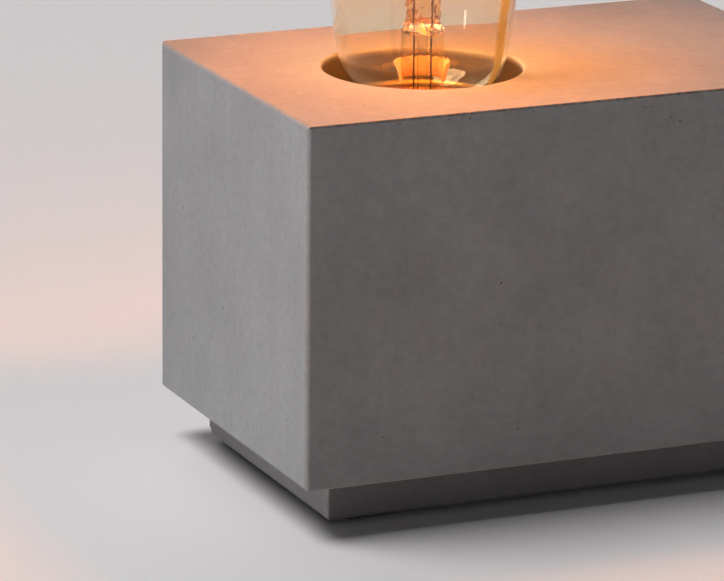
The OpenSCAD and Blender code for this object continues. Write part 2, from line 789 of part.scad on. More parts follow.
// A springy strip: a flat foot under the rivet, a rising tongue and a turned-down nose
module centre_contact() {
    color("#c98b52") difference() {
        translate([axis_x, strip_wide / 2, insert_floor_top]) rotate([90, 0, 0]) linear_extrude(strip_wide)
            polygon(ribbon([
                [-post_x - 2.4, strip_t / 2], [-post_x + 2.2, strip_t / 2], [-post_x + 3, strip_t / 2 + 0.1],
                [-2, contact_rise - strip_t / 2 - 0.3], [-0.8, contact_rise - strip_t / 2],
                [1.2, contact_rise - strip_t / 2], [2.2, contact_rise - 0.5], [3.4, contact_rise - 1.2]
            ], strip_t));
        translate([axis_x - post_x, 0, insert_floor_top - past]) cylinder(r = stud_r + slip / 2, h = 3);
    }
}

module side_contact() {
    color("#c98b52") difference() {
        translate([axis_x, -strip_wide / 2, insert_floor_top]) {
            translate([post_x - 2.2, 0, 0]) cube([riser_x - post_x + 2.2, strip_wide, strip_t]);
            translate([riser_x - strip_t, 0, 0]) cube([strip_t, strip_wide, shell_step]);
        }
        translate([axis_x + post_x, 0, insert_floor_top - past]) cylinder(r = stud_r + slip / 2, h = 3);
    }
}

// Two terminal posts, each with a stud riveted over its contact strip
module holder_posts() {
    color("#c9a24c") for (s = [-1, 1]) translate([axis_x + s * post_x, 0, 0]) difference() {
        union() {
            translate([-post_side / 2, -post_side / 2, post_z]) cube([post_side, post_side, post_h]);
            translate([0, 0, ledge_top - past]) cylinder(r = stud_r, h = insert_floor + strip_t + past);
            translate([0, 0, insert_floor_top + strip_t]) cylinder(r1 = stud_r + 0.6, r2 = stud_r, h = 0.6);
        }
        translate([0, 0, post_z - past]) cylinder(r = lead_r + slip, h = lead_end + slip + past);
        translate([0, 0, post_screw_z]) rotate([0, s * 90, 0]) cylinder(r = post_screw_r + slip, h = post_side);
    }
}

module post_screws() {
    color("#c4c6c8") for (s = [-1, 1]) translate([axis_x + s * post_x, 0, post_screw_z]) rotate([0, s * 90, 0]) {
        translate([0, 0, lead_r + slip / 2]) cylinder(r = post_screw_r, h = post_side / 2 - lead_r);
        translate([0, 0, post_side / 2]) cylinder(r = post_screw_r + 1, h = 1.4);
    }
}

module bulb_tip() {
    color("#b9b6ae") at_axis() {
        translate([0, 0, tip_z]) cylinder(r1 = tip_r - 1, r2 = tip_r, h = tip_h / 2);
        translate([0, 0, tip_z + tip_h / 2]) cylinder(r = tip_r, h = tip_h / 2);
    }
}

module bulb_insulator() {
    color("#1d1b22") at_axis() translate([0, 0, ring_z])
        cylinder(r1 = tip_r + 1.2, r2 = cap_r - 2.8, h = ring_h);
}

// The brass cap: crimped in under the shell, plain where its thread runs, flared at its rim
module bulb_cap() {
    side_r = cap_r - cap_t / 2;
    color("#c9a960") at_axis() rotate_extrude() polygon(ribbon([
        [cap_r - 3.4, shell_foot_z + cap_t / 2], [side_r - 0.9, shell_foot_z + cap_t / 2 + 0.5],
        [side_r - 0.2, shell_foot_z + 1.2], [side_r, shell_foot_z + 2], [side_r, cap_rim - 3.4],
        [side_r + 0.3, cap_rim - 2.6], [side_r + 0.6, cap_rim - 1.9], [side_r + 0.6, cap_rim]
    ], cap_t));
}

// The glass's outer line, from inside the cap to its crown. Heights up to the shoulder are plain sizes,
// and the rest shares out the height above it.
crown_z = glass_h - 31;
glass_line = curve([
    [glass_neck_r, cap_rim - glass_sunk], [glass_neck_r, cap_rim - 1.4], [glass_neck_r + 0.6, cap_rim + 0.6],
    [shoulder_r - 9.2, cap_rim + 3.2], [shoulder_r - 4.9, cap_rim + 7], [shoulder_r - 2.2, cap_rim + 12.6],
    [shoulder_r - 0.5, cap_rim + 21], [shoulder_r + 0.8, cap_rim + 31],
    [glass_r - 2.4, cap_rim + 31 + crown_z * 0.27], [glass_r - 0.4, cap_rim + 31 + crown_z * 0.5],
    [glass_r - 0.2, cap_rim + 31 + crown_z * 0.64], [glass_r - 3, cap_rim + 31 + crown_z * 0.79],
    [glass_r * 0.7, cap_rim + 31 + crown_z * 0.91], [glass_r * 0.4, cap_rim + 31 + crown_z * 0.975],
    [glass_r * 0.16, cap_rim + glass_h - 0.3], [0, cap_rim + glass_h]
], 4);

module bulb_glass() {
    last = len(glass_line) - 1;
    inner = [for (i = [0 : last - 1]) beside(glass_line, -glass_wall)[i]];
    color("#e0a558", 0.35) at_axis() rotate_extrude()
        polygon(concat(glass_line, [[0, cap_rim + glass_h - glass_wall]], reversed(inner)));
}

// The stem: a flare sealed in the neck, a tube, and the flat pinch that holds the wires
module bulb_stem() {
    flare_r = glass_neck_r - glass_wall - stem_wall / 2 - slip;
    tube_r = stem_r - stem_wall / 2;
    color("#f0e2cc", 0.35) at_axis() {
        rotate_extrude() polygon(ribbon(concat(curve([
            [flare_r, cap_rim - glass_sunk + 1], [flare_r - 0.2, cap_rim - glass_sunk + 2.4],
            [tube_r + 2, cap_rim - glass_sunk + 5.5], [tube_r, cap_rim - glass_sunk + 8.5],
            [tube_r, cap_rim - glass_sunk + 11]
        ], 3), [[tube_r, pinch_foot - 2], [tube_r, pinch_foot]]), stem_wall));
        rotate([0, 0, mount_angle]) {
            hull() {
                translate([0, 0, pinch_foot - pinch_sunk]) cylinder(r = stem_r + 0.2, h = 1, $fn = 32);
                pinch_ends(pinch_foot + 3.6, 0.6, 0.15);
            }
            pinch_ends(pinch_foot + 2, pinch_h - 2, 0);
            translate([-(pinch_w - pinch_t) / 2, -pinch_t / 2, pinch_foot + 2])
                cube([pinch_w - pinch_t, pinch_t, pinch_h - 2]);
        }
    }
}

// The two round sides of the pinch, from z up, grown by more
module pinch_ends(z, h, more) {
    for (s = [-1, 1]) translate([s * (pinch_w - pinch_t) / 2, 0, z]) cylinder(r = pinch_t / 2 + more, h = h);
}

// A strip of foil wrapped round the stem, open towards the front
module foil_collar() {
    foot_r = stem_r + 0.2 + slip;
    foot_z = cap_rim + collar_z;
    color("#e2a049") at_axis() rotate([0, 0, mount_angle - 90 + collar_open / 2])
        rotate_extrude(angle = 360 - collar_open) polygon(ribbon([
            [foot_r, foot_z], [foot_r + collar_spread * 0.3, foot_z + collar_h * 0.5],
            [foot_r + collar_spread, foot_z + collar_h]
        ], 0.3));
}

module exhaust_tube() {
    exhaust_z = shell_foot_z + 4;
    color("#f0e2cc", 0.35) at_axis()
        ring(exhaust_r, exhaust_r - 0.6, exhaust_z, pinch_foot - pinch_sunk - exhaust_z);
}

// A place round the cage: step k, radius r and height z, moved by side along the cage's round
function in_cage(k, r, z, side = 0) =
    let (a = mount_angle + cage_start + k * cage_step)
    [axis_x + r * cos(a) - side * sin(a), r * sin(a) + side * cos(a), z];

// The two wires, from inside the cap through the pinch and out to the filament's ends
module lead_wires() {
    color("#4b3a2c") for (s = [0, 1]) {
        k = s == 0 ? 0 : 2 * top_hooks;
        a = mount_angle + (s == 0 ? 180 : 0);
        foot = [axis_x + wire_gap / 2 * cos(a), wire_gap / 2 * sin(a), 0];
        wire(curve([
            foot + [0, 0, shell_foot_z + 5], foot + [0, 0, cap_rim], foot + [0, 0, pinch_foot],
            foot + [0, 0, pinch_top], foot + [0, 0, pinch_top + 2],
            in_cage(k, cage_foot_r * 0.6, cage_foot_z - 3), in_cage(k, cage_foot_r, cage_foot_z - filament_r - wire_r)
        ], 3), wire_r, wire_sides);
    }
}

module glass_rod() {
    color("#f0e2cc", 0.35) at_axis() {
        translate([0, 0, pinch_top]) cylinder(r = rod_r, h = rod_l);
        translate([0, 0, rod_top]) sphere(button_r);
        translate([0, 0, foot_button_z]) sphere(button_r);
    }
}

// Hooks that stand out of the two glass buttons: the upper ones hold the filament's upper bends
module support_wires() {
    color("#8b8680") for (k = [1 : 2 * top_hooks - 1]) {
        top = k % 2 == 1;
        z = top ? rod_top : foot_button_z;
        r = top ? cage_top_r : cage_foot_r;
        wire(curve([
            in_cage(k, button_r - 1, z), in_cage(k, r * 0.5, z), in_cage(k, r * 0.8, z + hook_rise * 0.7),
            in_cage(k, r - 0.7, z + hook_rise), in_cage(k, r + 0.8, z + hook_rise)
        ], 2), hook_r, wire_sides);
    }
}

// The coiled filament, up and down over the hooks like the bars of a cage
module filament() {
    bends = 2 * top_hooks;
    color("#ffb347") wire([
        for (k = [0 : bends])
            let (top = k % 2 == 1, r = top ? cage_top_r : cage_foot_r, way = top ? 1 : -1)
            let (z = (top ? cage_top_z : cage_foot_z) - way * bend_r)
            for (a = k == 0 ? [90, 45, 0] : k == bends ? [180, 135, 90] : [180, 135, 90, 45, 0])
                in_cage(k, r, z + way * bend_r * sin(a), bend_r * cos(a))
    ], filament_r, wire_sides);
}

concrete_block();
base_slab();
feet();
block_inserts();
slab_screws();
cord_grommet();
cord_clamp();
clamp_screws();
small_inserts();
terminal_body();
terminal_barrels();
terminal_screws();
terminal_fixings();
nipple();
seat_washer();
chamber_washer();
earth_tag();
nipple_nut();
live_lead();
neutral_lead();
earth_lead();
holder_cap();
grub_screw();
holder_sleeve();
holder_insert();
screw_shell();
centre_contact();
side_contact();
holder_posts();
post_screws();
bulb_tip();
bulb_insulator();
bulb_cap();
bulb_glass();
bulb_stem();
foil_collar();
exhaust_tube();
lead_wires();
glass_rod();
support_wires();
filament();
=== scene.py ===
import math
import random

import bmesh
import bpy
from mathutils import Matrix, Vector, noise


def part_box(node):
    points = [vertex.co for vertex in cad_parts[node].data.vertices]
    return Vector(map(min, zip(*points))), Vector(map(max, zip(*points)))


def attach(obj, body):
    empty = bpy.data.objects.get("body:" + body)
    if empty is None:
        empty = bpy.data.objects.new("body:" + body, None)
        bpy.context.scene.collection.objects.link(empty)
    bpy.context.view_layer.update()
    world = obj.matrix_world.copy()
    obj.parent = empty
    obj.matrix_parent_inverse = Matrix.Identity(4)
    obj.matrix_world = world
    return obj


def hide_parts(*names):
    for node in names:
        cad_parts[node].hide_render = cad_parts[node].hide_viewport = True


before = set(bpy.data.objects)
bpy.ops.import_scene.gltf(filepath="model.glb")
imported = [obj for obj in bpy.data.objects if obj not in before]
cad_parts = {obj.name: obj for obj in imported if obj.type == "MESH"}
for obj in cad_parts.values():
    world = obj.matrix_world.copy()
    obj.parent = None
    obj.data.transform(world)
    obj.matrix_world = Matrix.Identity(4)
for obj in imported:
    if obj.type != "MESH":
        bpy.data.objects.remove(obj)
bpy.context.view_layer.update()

# The camera stands where the photograph's did, found from the block's edges, and looks down a long lens
# at the block's near corner.
mm = 0.001
sight_azimuth = math.radians(-23.51)
sight_elevation = math.radians(15.67)
sight_roll = math.radians(0.56)
sight_point = Vector((-70.8, -56.5, 71.9)) * mm
sight_distance = 1451.7 * mm
lens_length = 260.2
sensor_width = 36

back = Vector((
    math.sin(sight_azimuth) * math.cos(sight_elevation),
    -math.cos(sight_azimuth) * math.cos(sight_elevation),
    math.sin(sight_elevation),
))
level = Vector((math.cos(sight_azimuth), math.sin(sight_azimuth), 0))
turned = Matrix.Rotation(sight_roll, 3, back) @ Matrix((level, back.cross(level), back)).transposed()
camera = bpy.data.objects.new("camera", bpy.data.cameras.new("camera"))
camera.matrix_world = Matrix.Translation(sight_point + back * sight_distance) @ turned.to_4x4()
camera.data.lens = lens_length
camera.data.sensor_width = sensor_width
bpy.context.collection.objects.link(camera)
bpy.context.scene.camera = camera


# The table is a pale matt top. A broad window lights it from above and a little left, a pale wall shines
# low from the left, and a far window stands low behind. The bulb is lit and warms the block's top.
def tint(code):
    parts = [int(code[i:i + 2], 16) / 255 for i in (1, 3, 5)]
    return [c / 12.92 if c <= 0.04045 else ((c + 0.055) / 1.055) ** 2.4 for c in parts] + [1]


def put(tree, kind, inputs=(), **settings):
    """Adds a node, sets it, and links or fills its inputs. A node as input gives its first output."""
    node = tree.nodes.new("ShaderNode" + kind)
    for name, value in settings.items():
        setattr(node, name, value)
    for key, value in dict(inputs).items():
        if isinstance(value, bpy.types.Node):
            value = next(socket for socket in value.outputs if socket.enabled)
        if isinstance(value, bpy.types.NodeSocket):
            tree.links.new(value, node.inputs[key])
        else:
            node.inputs[key].default_value = value
    return node


def begin(name):
    """A new material, its node tree and the object's own coordinates in it."""
    finish = bpy.data.materials.new(name)
    finish.use_nodes = True
    finish.node_tree.nodes.clear()
    return finish, finish.node_tree, put(finish.node_tree, "TexCoord").outputs["Object"]


table_paint, tree, place = begin("matt_table_paint")
# Clouds 180 mm wide
cloud = put(tree, "TexNoise", {"Vector": place, "Scale": 1 / (180 * mm)})
shade = put(tree, "Mix", {"Factor": cloud, 6: tint("#EAE7E8"), 7: tint("#EFECED")}, data_type="RGBA")
paint = {"Base Color": shade, "Roughness": 0.85, "Specular IOR Level": 0.2}
put(tree, "OutputMaterial", {"Surface": put(tree, "BsdfPrincipled", paint)})

table = bmesh.new()
bmesh.ops.create_grid(table, x_segments=1, y_segments=1, size=12)
mesh = bpy.data.meshes.new("table_top")
table.to_mesh(mesh)
table_top = bpy.data.objects.new("table_top", mesh)
bpy.context.collection.objects.link(table_top)
mesh.materials.append(table_paint)

room = bpy.data.worlds.new("room")
bpy.context.scene.world = room
room.use_nodes = True
tree = room.node_tree
tree.nodes.clear()
ray = put(tree, "LightPath").outputs
seen = put(tree, "Math", {0: ray["Is Camera Ray"], 1: ray["Is Transmission Ray"]}, operation="MAXIMUM")
seen = put(tree, "Math", {0: seen, 1: ray["Is Glossy Ray"]}, operation="MAXIMUM")
dim = put(tree, "Background", {"Color": tint("#E8ECF2"), "Strength": 0.025})
pale = put(tree, "Background", {"Color": tint("#D1CCCE"), "Strength": 1})
put(tree, "OutputWorld", {"Surface": put(tree, "MixShader", {0: seen, 1: dim, 2: pale})})


def sun(name, towards, strength, width, colour):
    lamp = bpy.data.lights.new(name, "SUN")
    lamp.energy = strength
    lamp.angle = math.radians(width)
    lamp.color = tint(colour)[:3]
    holder = bpy.data.objects.new(name, lamp)
    holder.rotation_euler = Vector(towards).to_track_quat("Z", "Y").to_euler()
    holder.visible_glossy = False
    bpy.context.collection.objects.link(holder)


sun("window", (-0.37, 0.17, 0.91), 2.0, 30, "#FFFFFF")
sun("pale_wall", (-0.99, -0.12, 0.02), 1.8, 4, "#F6F9FF")
sun("far_window", (0.07, 0.96, 0.27), 1.0, 43, "#FFFFFF")

bulb_axis = (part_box("bulb_cap")[0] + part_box("bulb_cap")[1]) / 2
# A point lamp a little ahead of the bulb's axis stands in for the filament's light
glow_ahead = 14 * mm
glow_height = 208 * mm
glow = bpy.data.lights.new("glow", "POINT")
glow.energy = 0.56
glow.color = (1, 0.385, 0.04)
glow.shadow_soft_size = 14 * mm
glow_holder = bpy.data.objects.new("glow", glow)
glow_holder.location = (bulb_axis.x, bulb_axis.y - glow_ahead, glow_height)
bpy.context.collection.objects.link(glow_holder)
glow_holder.visible_transmission = False

bpy.context.scene.view_settings.view_transform = "Standard"


# The block is one casting of fine grey concrete, struck from a smooth mould. It has a close sandy grain,
# faint clouds and upright streaks, and small round pinholes where air bubbles lay against the mould.
def concrete(name, tone, box, hollow=0):
    finish, tree, place = begin(name)
    side = put(tree, "SeparateXYZ", {0: place}).outputs
    # Clouds 30 mm wide, upright streaks 7 mm wide, spots of 2.5 mm and a sandy grain of 0.5 mm. Painted
    # light:
    # the tone is a little lighter towards the front and darker towards the back.
    upright = put(tree, "Mapping", {"Vector": place, "Scale": (1, 1, 0.12)})
    layers = []
    for where, width, detail, rough, darkest, lightest in (
        (place, 30, 3, 0.5, 0.93, 1.06), (upright, 7, 2, 0.5, 0.97, 1.025),
        (place, 2.5, 3, 0.5, 0.92, 1.08), (place, 0.5, 2, 0.7, 0.91, 1.08),
    ):
        wave = {"Vector": where, "Scale": 1 / (width * mm), "Detail": detail, "Roughness": rough}
        grain = put(tree, "TexNoise", wave)
        layers.append(put(tree, "MapRange", {0: grain, 1: 0.3, 2: 0.7, 3: darkest, 4: lightest}))
    spot, sand = layers[2:]
    # Painted light: lighter towards the front, darker towards the back
    layers.append(put(tree, "MapRange", {0: side["Y"], 1: box[0].y, 2: box[1].y, 3: 1.07, 4: 0.93}))

    # How near the closest edge of the box lies: the middle one of the three distances to its faces
    centre, half = (box[0] + box[1]) / 2, (box[1] - box[0]) / 2
    away = put(tree, "Mapping", {"Vector": place, "Location": -centre})
    away = put(tree, "VectorMath", {0: away}, operation="ABSOLUTE")
    away = put(tree, "VectorMath", {0: half, 1: away}, operation="SUBTRACT")
    gap = put(tree, "SeparateXYZ", {0: away}).outputs
    low = put(tree, "Math", {0: gap[0], 1: gap[1]}, operation="MINIMUM")
    high = put(tree, "Math", {0: gap[0], 1: gap[1]}, operation="MAXIMUM")
    high = put(tree, "Math", {0: high, 1: gap[2]}, operation="MINIMUM")
    edge = put(tree, "Math", {0: low, 1: high}, operation="MAXIMUM")
    worn = put(tree, "MapRange", {0: edge, 1: 0, 2: 1.6 * mm, 3: 1, 4: 0}, interpolation_type="SMOOTHSTEP")
    patch = put(tree, "TexNoise", {"Vector": place, "Scale": 1 / (3 * mm), "Detail": 3})
    patch = put(tree, "MapRange", {0: patch, 1: 0.35, 2: 0.65, 3: 0.2, 4: 1})
    worn = put(tree, "Math", {0: worn, 1: patch}, operation="MULTIPLY")

    # Dark air holes too small to cut, and rusty specks of ironstone, one in some of the cells
    marks = []
    for cell, channel, rare, radius in ((7, 0, 0.55, 0.045), (19, 1, 0.6, 0.03)):
        dots = put(tree, "TexVoronoi", {"Vector": place, "Scale": 1 / (cell * mm)})
        chosen = put(tree, "SeparateColor", {0: dots.outputs["Color"]}).outputs[channel]
        reach = put(tree, "MapRange", {0: chosen, 1: rare, 2: 1, 3: 0, 4: radius})
        marks.append(put(tree, "Math", {0: dots, 1: reach}, operation="LESS_THAN"))
    hole, speck = marks

    ground = tint(tone)[:3]
    if hollow:
        # Painted shade and painted warm bulb light: the wall of the recess is darkened and browned below its
        # rim
        flat = put(tree, "Mapping", {"Vector": place, "Location": (-bulb_axis.x, -bulb_axis.y, 0)})
        flat = put(tree, "VectorMath", {0: flat, 1: (1, 1, 0)}, operation="MULTIPLY")
        away = put(tree, "VectorMath", {0: flat}, operation="LENGTH")
        inside = put(tree, "MapRange", {0: away, 1: hollow, 2: hollow + 0.2 * mm, 3: 1, 4: 0})
        rim = {0: side["Z"], 1: box[1].z - 2.5 * mm, 2: box[1].z - 0.3 * mm, 3: 1, 4: 0}
        under = put(tree, "MapRange", rim, interpolation_type="SMOOTHSTEP")
        under = put(tree, "Math", {0: inside, 1: under}, operation="MULTIPLY")
        # Painted shade: the recess wall below its rim is darkened to 0.3 of its tone
        layers.append(put(tree, "MapRange", {0: under, 1: 0, 2: 1, 3: 1, 4: 0.3}))
        # Painted bulb light: the same wall is mixed towards a warm brown
        ground = put(tree, "Mix", {"Factor": under, 6: tint(tone), 7: tint("#8F7C69")}, data_type="RGBA")
        # Grains have fallen out along the front's top edge, in a crumbled line less than 1 mm wide
        top, face = box[1].z, box[0].y
        brink = put(tree, "MapRange", {0: side["Z"], 1: top - 0.9 * mm, 2: top - 0.5 * mm})
        front = put(tree, "MapRange", {0: side["Y"], 1: face + 0.15 * mm, 2: face + 0.4 * mm, 3: 1, 4: 0})
        brink = put(tree, "Math", {0: brink, 1: front}, operation="MULTIPLY")
        gone = put(tree, "TexNoise", {"Vector": place, "Scale": 1 / (1.6 * mm)})
        gone = put(tree, "MapRange", {0: gone, 1: 0.35, 2: 0.65, 3: 0.3, 4: 1})
        brink = put(tree, "Math", {0: brink, 1: gone}, operation="MULTIPLY")
        layers.append(put(tree, "MapRange", {0: brink, 1: 0, 2: 1, 3: 1, 4: 0.25}))
    light = layers[0]
    for layer in layers[1:]:
        light = put(tree, "Math", {0: light, 1: layer}, operation="MULTIPLY")
    colour = put(tree, "VectorMath", {0: ground, "Scale": light}, operation="SCALE")
    for mark, share, code in ((worn, 0.45, "#A3917F"), (speck, 0.6, "#6B4A38"), (hole, 0.75, "#2E2C2A")):
        part = put(tree, "Math", {0: mark, 1: share}, operation="MULTIPLY")
        colour = put(tree, "Mix", {"Factor": part, 6: colour, 7: tint(code)}, data_type="RGBA")

    rise = put(tree, "Math", {0: spot, 1: 1.6, 2: sand}, operation="MULTIPLY_ADD")
    rise = put(tree, "Math", {0: hole, 1: -0.5, 2: rise}, operation="MULTIPLY_ADD")
    relief = put(tree, "Bump", {"Height": rise, "Strength": 0.35, "Distance": 0.25 * mm})
    rough = put(tree, "TexNoise", {"Vector": place, "Scale": 1 / (2.5 * mm)})
    rough = put(tree, "MapRange", {0: rough, 1: 0.3, 2: 0.7, 3: 0.74, 4: 0.88})
    cast = {
        "Base Color": colour, "Roughness": rough, "Normal": relief, "IOR": 1.5, "Specular IOR Level": 0.25,
    }
    put(tree, "OutputMaterial", {"Surface": put(tree, "BsdfPrincipled", cast)})
    return finish


def copied(node):
    """A CAD node's shape with its loose triangles joined and its flat faces whole."""
    shape = bmesh.new()
    shape.from_mesh(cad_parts[node].data)
    bmesh.ops.remove_doubles(shape, verts=shape.verts, dist=0.002 * mm)
    bmesh.ops.dissolve_limit(shape, angle_limit=math.radians(0.2), verts=shape.verts, edges=shape.edges)
    return shape


def made(name, shape):
    mesh = bpy.data.meshes.new(name)
    shape.to_mesh(mesh)
    shape.free()
    piece = bpy.data.objects.new(name, mesh)
    bpy.context.collection.objects.link(piece)
    return piece


def placed(piece, finish, body, node):
    """Gives the piece its finish and its body, in the place of a CAD node."""
    piece.data.materials.clear()
    piece.data.materials.append(finish)
    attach(piece, body)
    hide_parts(node)


def rounded(piece, sharp=30):
    """Smooth faces that stay flat where they are flat, with crisp edges above the angle."""
    shape = bmesh.new()
    shape.from_mesh(piece.data)
    for face in shape.faces:
        face.smooth = True
    for edge in shape.edges:
        edge.smooth = len(edge.link_faces) == 2 and edge.calc_face_angle(0) < math.radians(sharp)
    shape.to_mesh(piece.data)
    shape.free()
    even = piece.modifiers.new("even_normals", "WEIGHTED_NORMAL")
    even.keep_sharp = True


def carved(piece, cutter):
    """The piece with the cutter's shapes taken out of it."""
    tool = made("tool", cutter)
    cut = piece.modifiers.new("cut", "BOOLEAN")
    cut.object = tool
    cut.solver = "EXACT"
    seen = piece.evaluated_get(bpy.context.evaluated_depsgraph_get())
    piece.data = bpy.data.meshes.new_from_object(seen)
    piece.modifiers.clear()
    bpy.data.objects.remove(tool)


def pit(cutter, centre, radius, rng, splits=1):
    """A small lumpy bubble added to a cutter."""
    made_here = bmesh.ops.create_icosphere(cutter, subdivisions=splits, radius=radius)["verts"]
    wide = [rng.uniform(0.75, 1.25) for _ in range(3)]
    for vert in made_here:
        lump = rng.uniform(0.85, 1.12)
        vert.co = Vector(c * w * lump for c, w in zip(vert.co, wide)) + centre


block_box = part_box("concrete_block")
low, high = block_box
recess_r = 29.4 * mm
rng = random.Random(4)
holes = bmesh.new()
# The pinholes that show on the front, as distance from the block's left end and from its top, and radius
front_pinholes = [
    (103.0, 3.3, 0.34), (105.5, 3.5, 0.30), (111.3, 6.9, 0.36), (114.2, 8.4, 0.32), (27.6, 1.5, 0.30),
    (36.0, 1.9, 0.24), (42.5, 1.4, 0.28), (48.9, 1.7, 0.32), (55.0, 2.3, 0.22), (61.4, 1.6, 0.26),
    (68.2, 1.5, 0.30), (76.5, 1.3, 0.26), (65.3, 93.8, 0.42), (23.5, 91.4, 0.38),
]
for along, down, radius in front_pinholes:
    pit(holes, Vector((low.x + along * mm, low.y, high.z - down * mm)), radius * mm, rng, 2)
# The other faces, and the front beyond what was photographed, have theirs scattered
scattered = 90
photographed = 40 * mm
for _ in range(scattered):
    axis = rng.choice([0, 0, 1, 1, 2])
    near = rng.random() < 0.5
    spot = Vector(rng.uniform(low[i] + 4 * mm, high[i] - 4 * mm) for i in range(3))
    spot[axis] = high[axis] if axis == 2 or not near else low[axis]
    if axis == 1 and near and spot.x < photographed:
        continue
    if axis == 2 and (spot - Vector((bulb_axis.x, bulb_axis.y, spot.z))).length < recess_r + 4.6 * mm:
        continue
    pit(holes, spot, rng.uniform(0.16, 0.42) * mm, rng)
# Knocks on the edges: the left top edge, the near lower corner and the long lower edge
for knock, radius in (
    ((low.x, low.y + 43.3 * mm, high.z), 0.7), ((low.x, low.y + 40.5 * mm, high.z), 0.5),
    ((low.x + 5.6 * mm, low.y, low.z), 0.8), ((low.x + 8.8 * mm, low.y, low.z), 0.45),
    ((low.x, low.y + 0.3 * mm, low.z + 0.2 * mm), 0.9), ((low.x + 96 * mm, low.y, low.z), 0.6),
    ((high.x, low.y + 60 * mm, high.z), 0.7), ((high.x - 30 * mm, high.y, high.z), 0.6),
):
    pit(holes, Vector(knock), radius * mm, rng, 2)

block = made("cast_block", copied("concrete_block"))
carved(block, holes)
rounded(block)
block_concrete = concrete("cast_concrete", "#8C8B8B", block_box, recess_r)
placed(block, block_concrete, "base", "concrete_block")


# The plinth is a second, thinner casting of the same mix, screwed under the block and set back from its
# faces, with a struck chamfer along its foot. Its back left corner has been knocked off.
slab_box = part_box("base_slab")
low, high = slab_box
chips = bmesh.new()
for knock, radius in (
    ((low.x, high.y, low.z), 3.2), ((low.x - 0.4 * mm, high.y - 5 * mm, low.z), 1.6),
    ((low.x + 0.4 * mm, low.y, low.z), 1.4), ((low.x + 41 * mm, low.y, low.z), 0.8),
    ((high.x, low.y + 12 * mm, low.z), 1.2),
):
    pit(chips, Vector(knock), radius * mm, rng, 2)
plinth = made("cast_plinth", copied("base_slab"))
carved(plinth, chips)
rounded(plinth)
# Painted shade: its tone is set darker than the block's, for the shade under the block's overhang
placed(plinth, concrete("plinth_concrete", "#73706F", slab_box), "base", "base_slab")


# Four pads under the plinth and the bush in its back edge are the same moulded black rubber. It is matt,
# greyed a little by dust, and only its worn high spots shine.
def refined(name, node, width, finish):
    """A copy of a CAD node in its place, with its edges rounded by that width in mm."""
    piece = made(name, copied(node))
    for face in piece.data.polygons:
        face.use_smooth = True
    soft = piece.modifiers.new("soft_edges", "BEVEL")
    soft.width = width * mm
    soft.segments = 2
    soft.limit_method = "ANGLE"
    soft.angle_limit = math.radians(30)
    piece.modifiers.new("even_normals", "WEIGHTED_NORMAL").keep_sharp = True
    placed(piece, finish, "base", node)


def mottled(name, patch, tones, gloss, grain, relief, stretch=(1, 1, 1), **settings):
    """Patches of a second tone and roughness over a fine grain.

    patch is (width in mm, detail, where it starts, where it is full, its share there), grain is (width in
    mm, detail), drawn out along an axis by a stretch below 1, and relief is the grain's depth in mm."""
    finish, tree, place = begin(name)
    width, detail, start, full, share = patch
    part = put(tree, "TexNoise", {"Vector": place, "Scale": 1 / (width * mm), "Detail": detail})
    part = put(tree, "MapRange", {0: part, 1: start, 2: full, 3: 0, 4: share})
    drawn = put(tree, "Mapping", {"Vector": place, "Scale": stretch})
    grains = put(tree, "TexNoise", {"Vector": drawn, "Scale": 1 / (grain[0] * mm), "Detail": grain[1]})
    first, second = (tint(code) for code in tones)
    skin = {
        "Base Color": put(tree, "Mix", {"Factor": part, 6: first, 7: second}, data_type="RGBA"),
        "Roughness": put(tree, "MapRange", {0: part, 1: 0, 2: share, 3: gloss[0], 4: gloss[1]}),
        "Normal": put(tree, "Bump", {"Height": grains, "Distance": relief * mm}), **settings,
    }
    put(tree, "OutputMaterial", {"Surface": put(tree, "BsdfPrincipled", skin)})
    return finish


# Dust lies in clouds 4 mm wide, over a moulded skin with a 0.3 mm grain
rubber = mottled("moulded_black_rubber", patch=(4, 3, 0.4, 0.7, 0.5), tones=("#1C1B1B", "#3A3836"),
                 gloss=(0.55, 0.85), grain=(0.3, 2), relief=0.05, IOR=1.52)
refined("rubber_feet", "feet", 0.4, rubber)
refined("inlet_grommet", "cord_grommet", 0.4, rubber)


# Every screw, washer and nut is zinc-plated steel: a bluish bright grey with cloudy plating and faint
# marks of the tool.
steel, tree, place = begin("zinc_plated_steel")
# The plating clouds over 2 mm, and the tool left lines 0.15 mm apart
cloud = put(tree, "TexNoise", {"Vector": place, "Scale": 1 / (2 * mm), "Detail": 3})
bright = put(tree, "MapRange", {0: cloud, 1: 0.35, 2: 0.65})
along = put(tree, "Mapping", {"Vector": place, "Scale": (1, 1, 0.1)})
lines = put(tree, "TexNoise", {"Vector": along, "Scale": 1 / (0.15 * mm), "Detail": 1})
plating = put(tree, "Mix", {"Factor": bright, 6: tint("#B3B6BA"), 7: tint("#CDCFD2")}, data_type="RGBA")
plate = {
    "Base Color": plating, "Metallic": 1,
    "Roughness": put(tree, "MapRange", {0: cloud, 1: 0.3, 2: 0.7, 3: 0.24, 4: 0.42}),
    "Normal": put(tree, "Bump", {"Height": lines, "Distance": 0.02 * mm}),
}
put(tree, "OutputMaterial", {"Surface": put(tree, "BsdfPrincipled", plate)})
for name, node, width in (
    ("plinth_screws", "slab_screws", 0.2), ("lampholder_seat_washer", "seat_washer", 0.15),
    ("chamber_roof_washer", "chamber_washer", 0.15), ("tube_nut", "nipple_nut", 0.25),
    ("clamp_bar_screws", "clamp_screws", 0.12), ("terminal_fixing_screws", "terminal_fixings", 0.12),
    ("terminal_clamp_screws", "terminal_screws", 0.1), ("post_clamp_screws", "post_screws", 0.12),
    ("neck_grub_screw", "grub_screw", 0.1),
):
    refined(name, node, width, steel)


# The cast-in inserts, the terminal barrels and posts and the threaded tube are turned from brass bar:
# yellow, with bright rings round them where the tool passed.
def dressed(finish, *nodes):
    """CAD nodes whose shape is right keep it and get the finish."""
    for node in nodes:
        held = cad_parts[node]
        held.data.materials.clear()
        held.data.materials.append(finish)


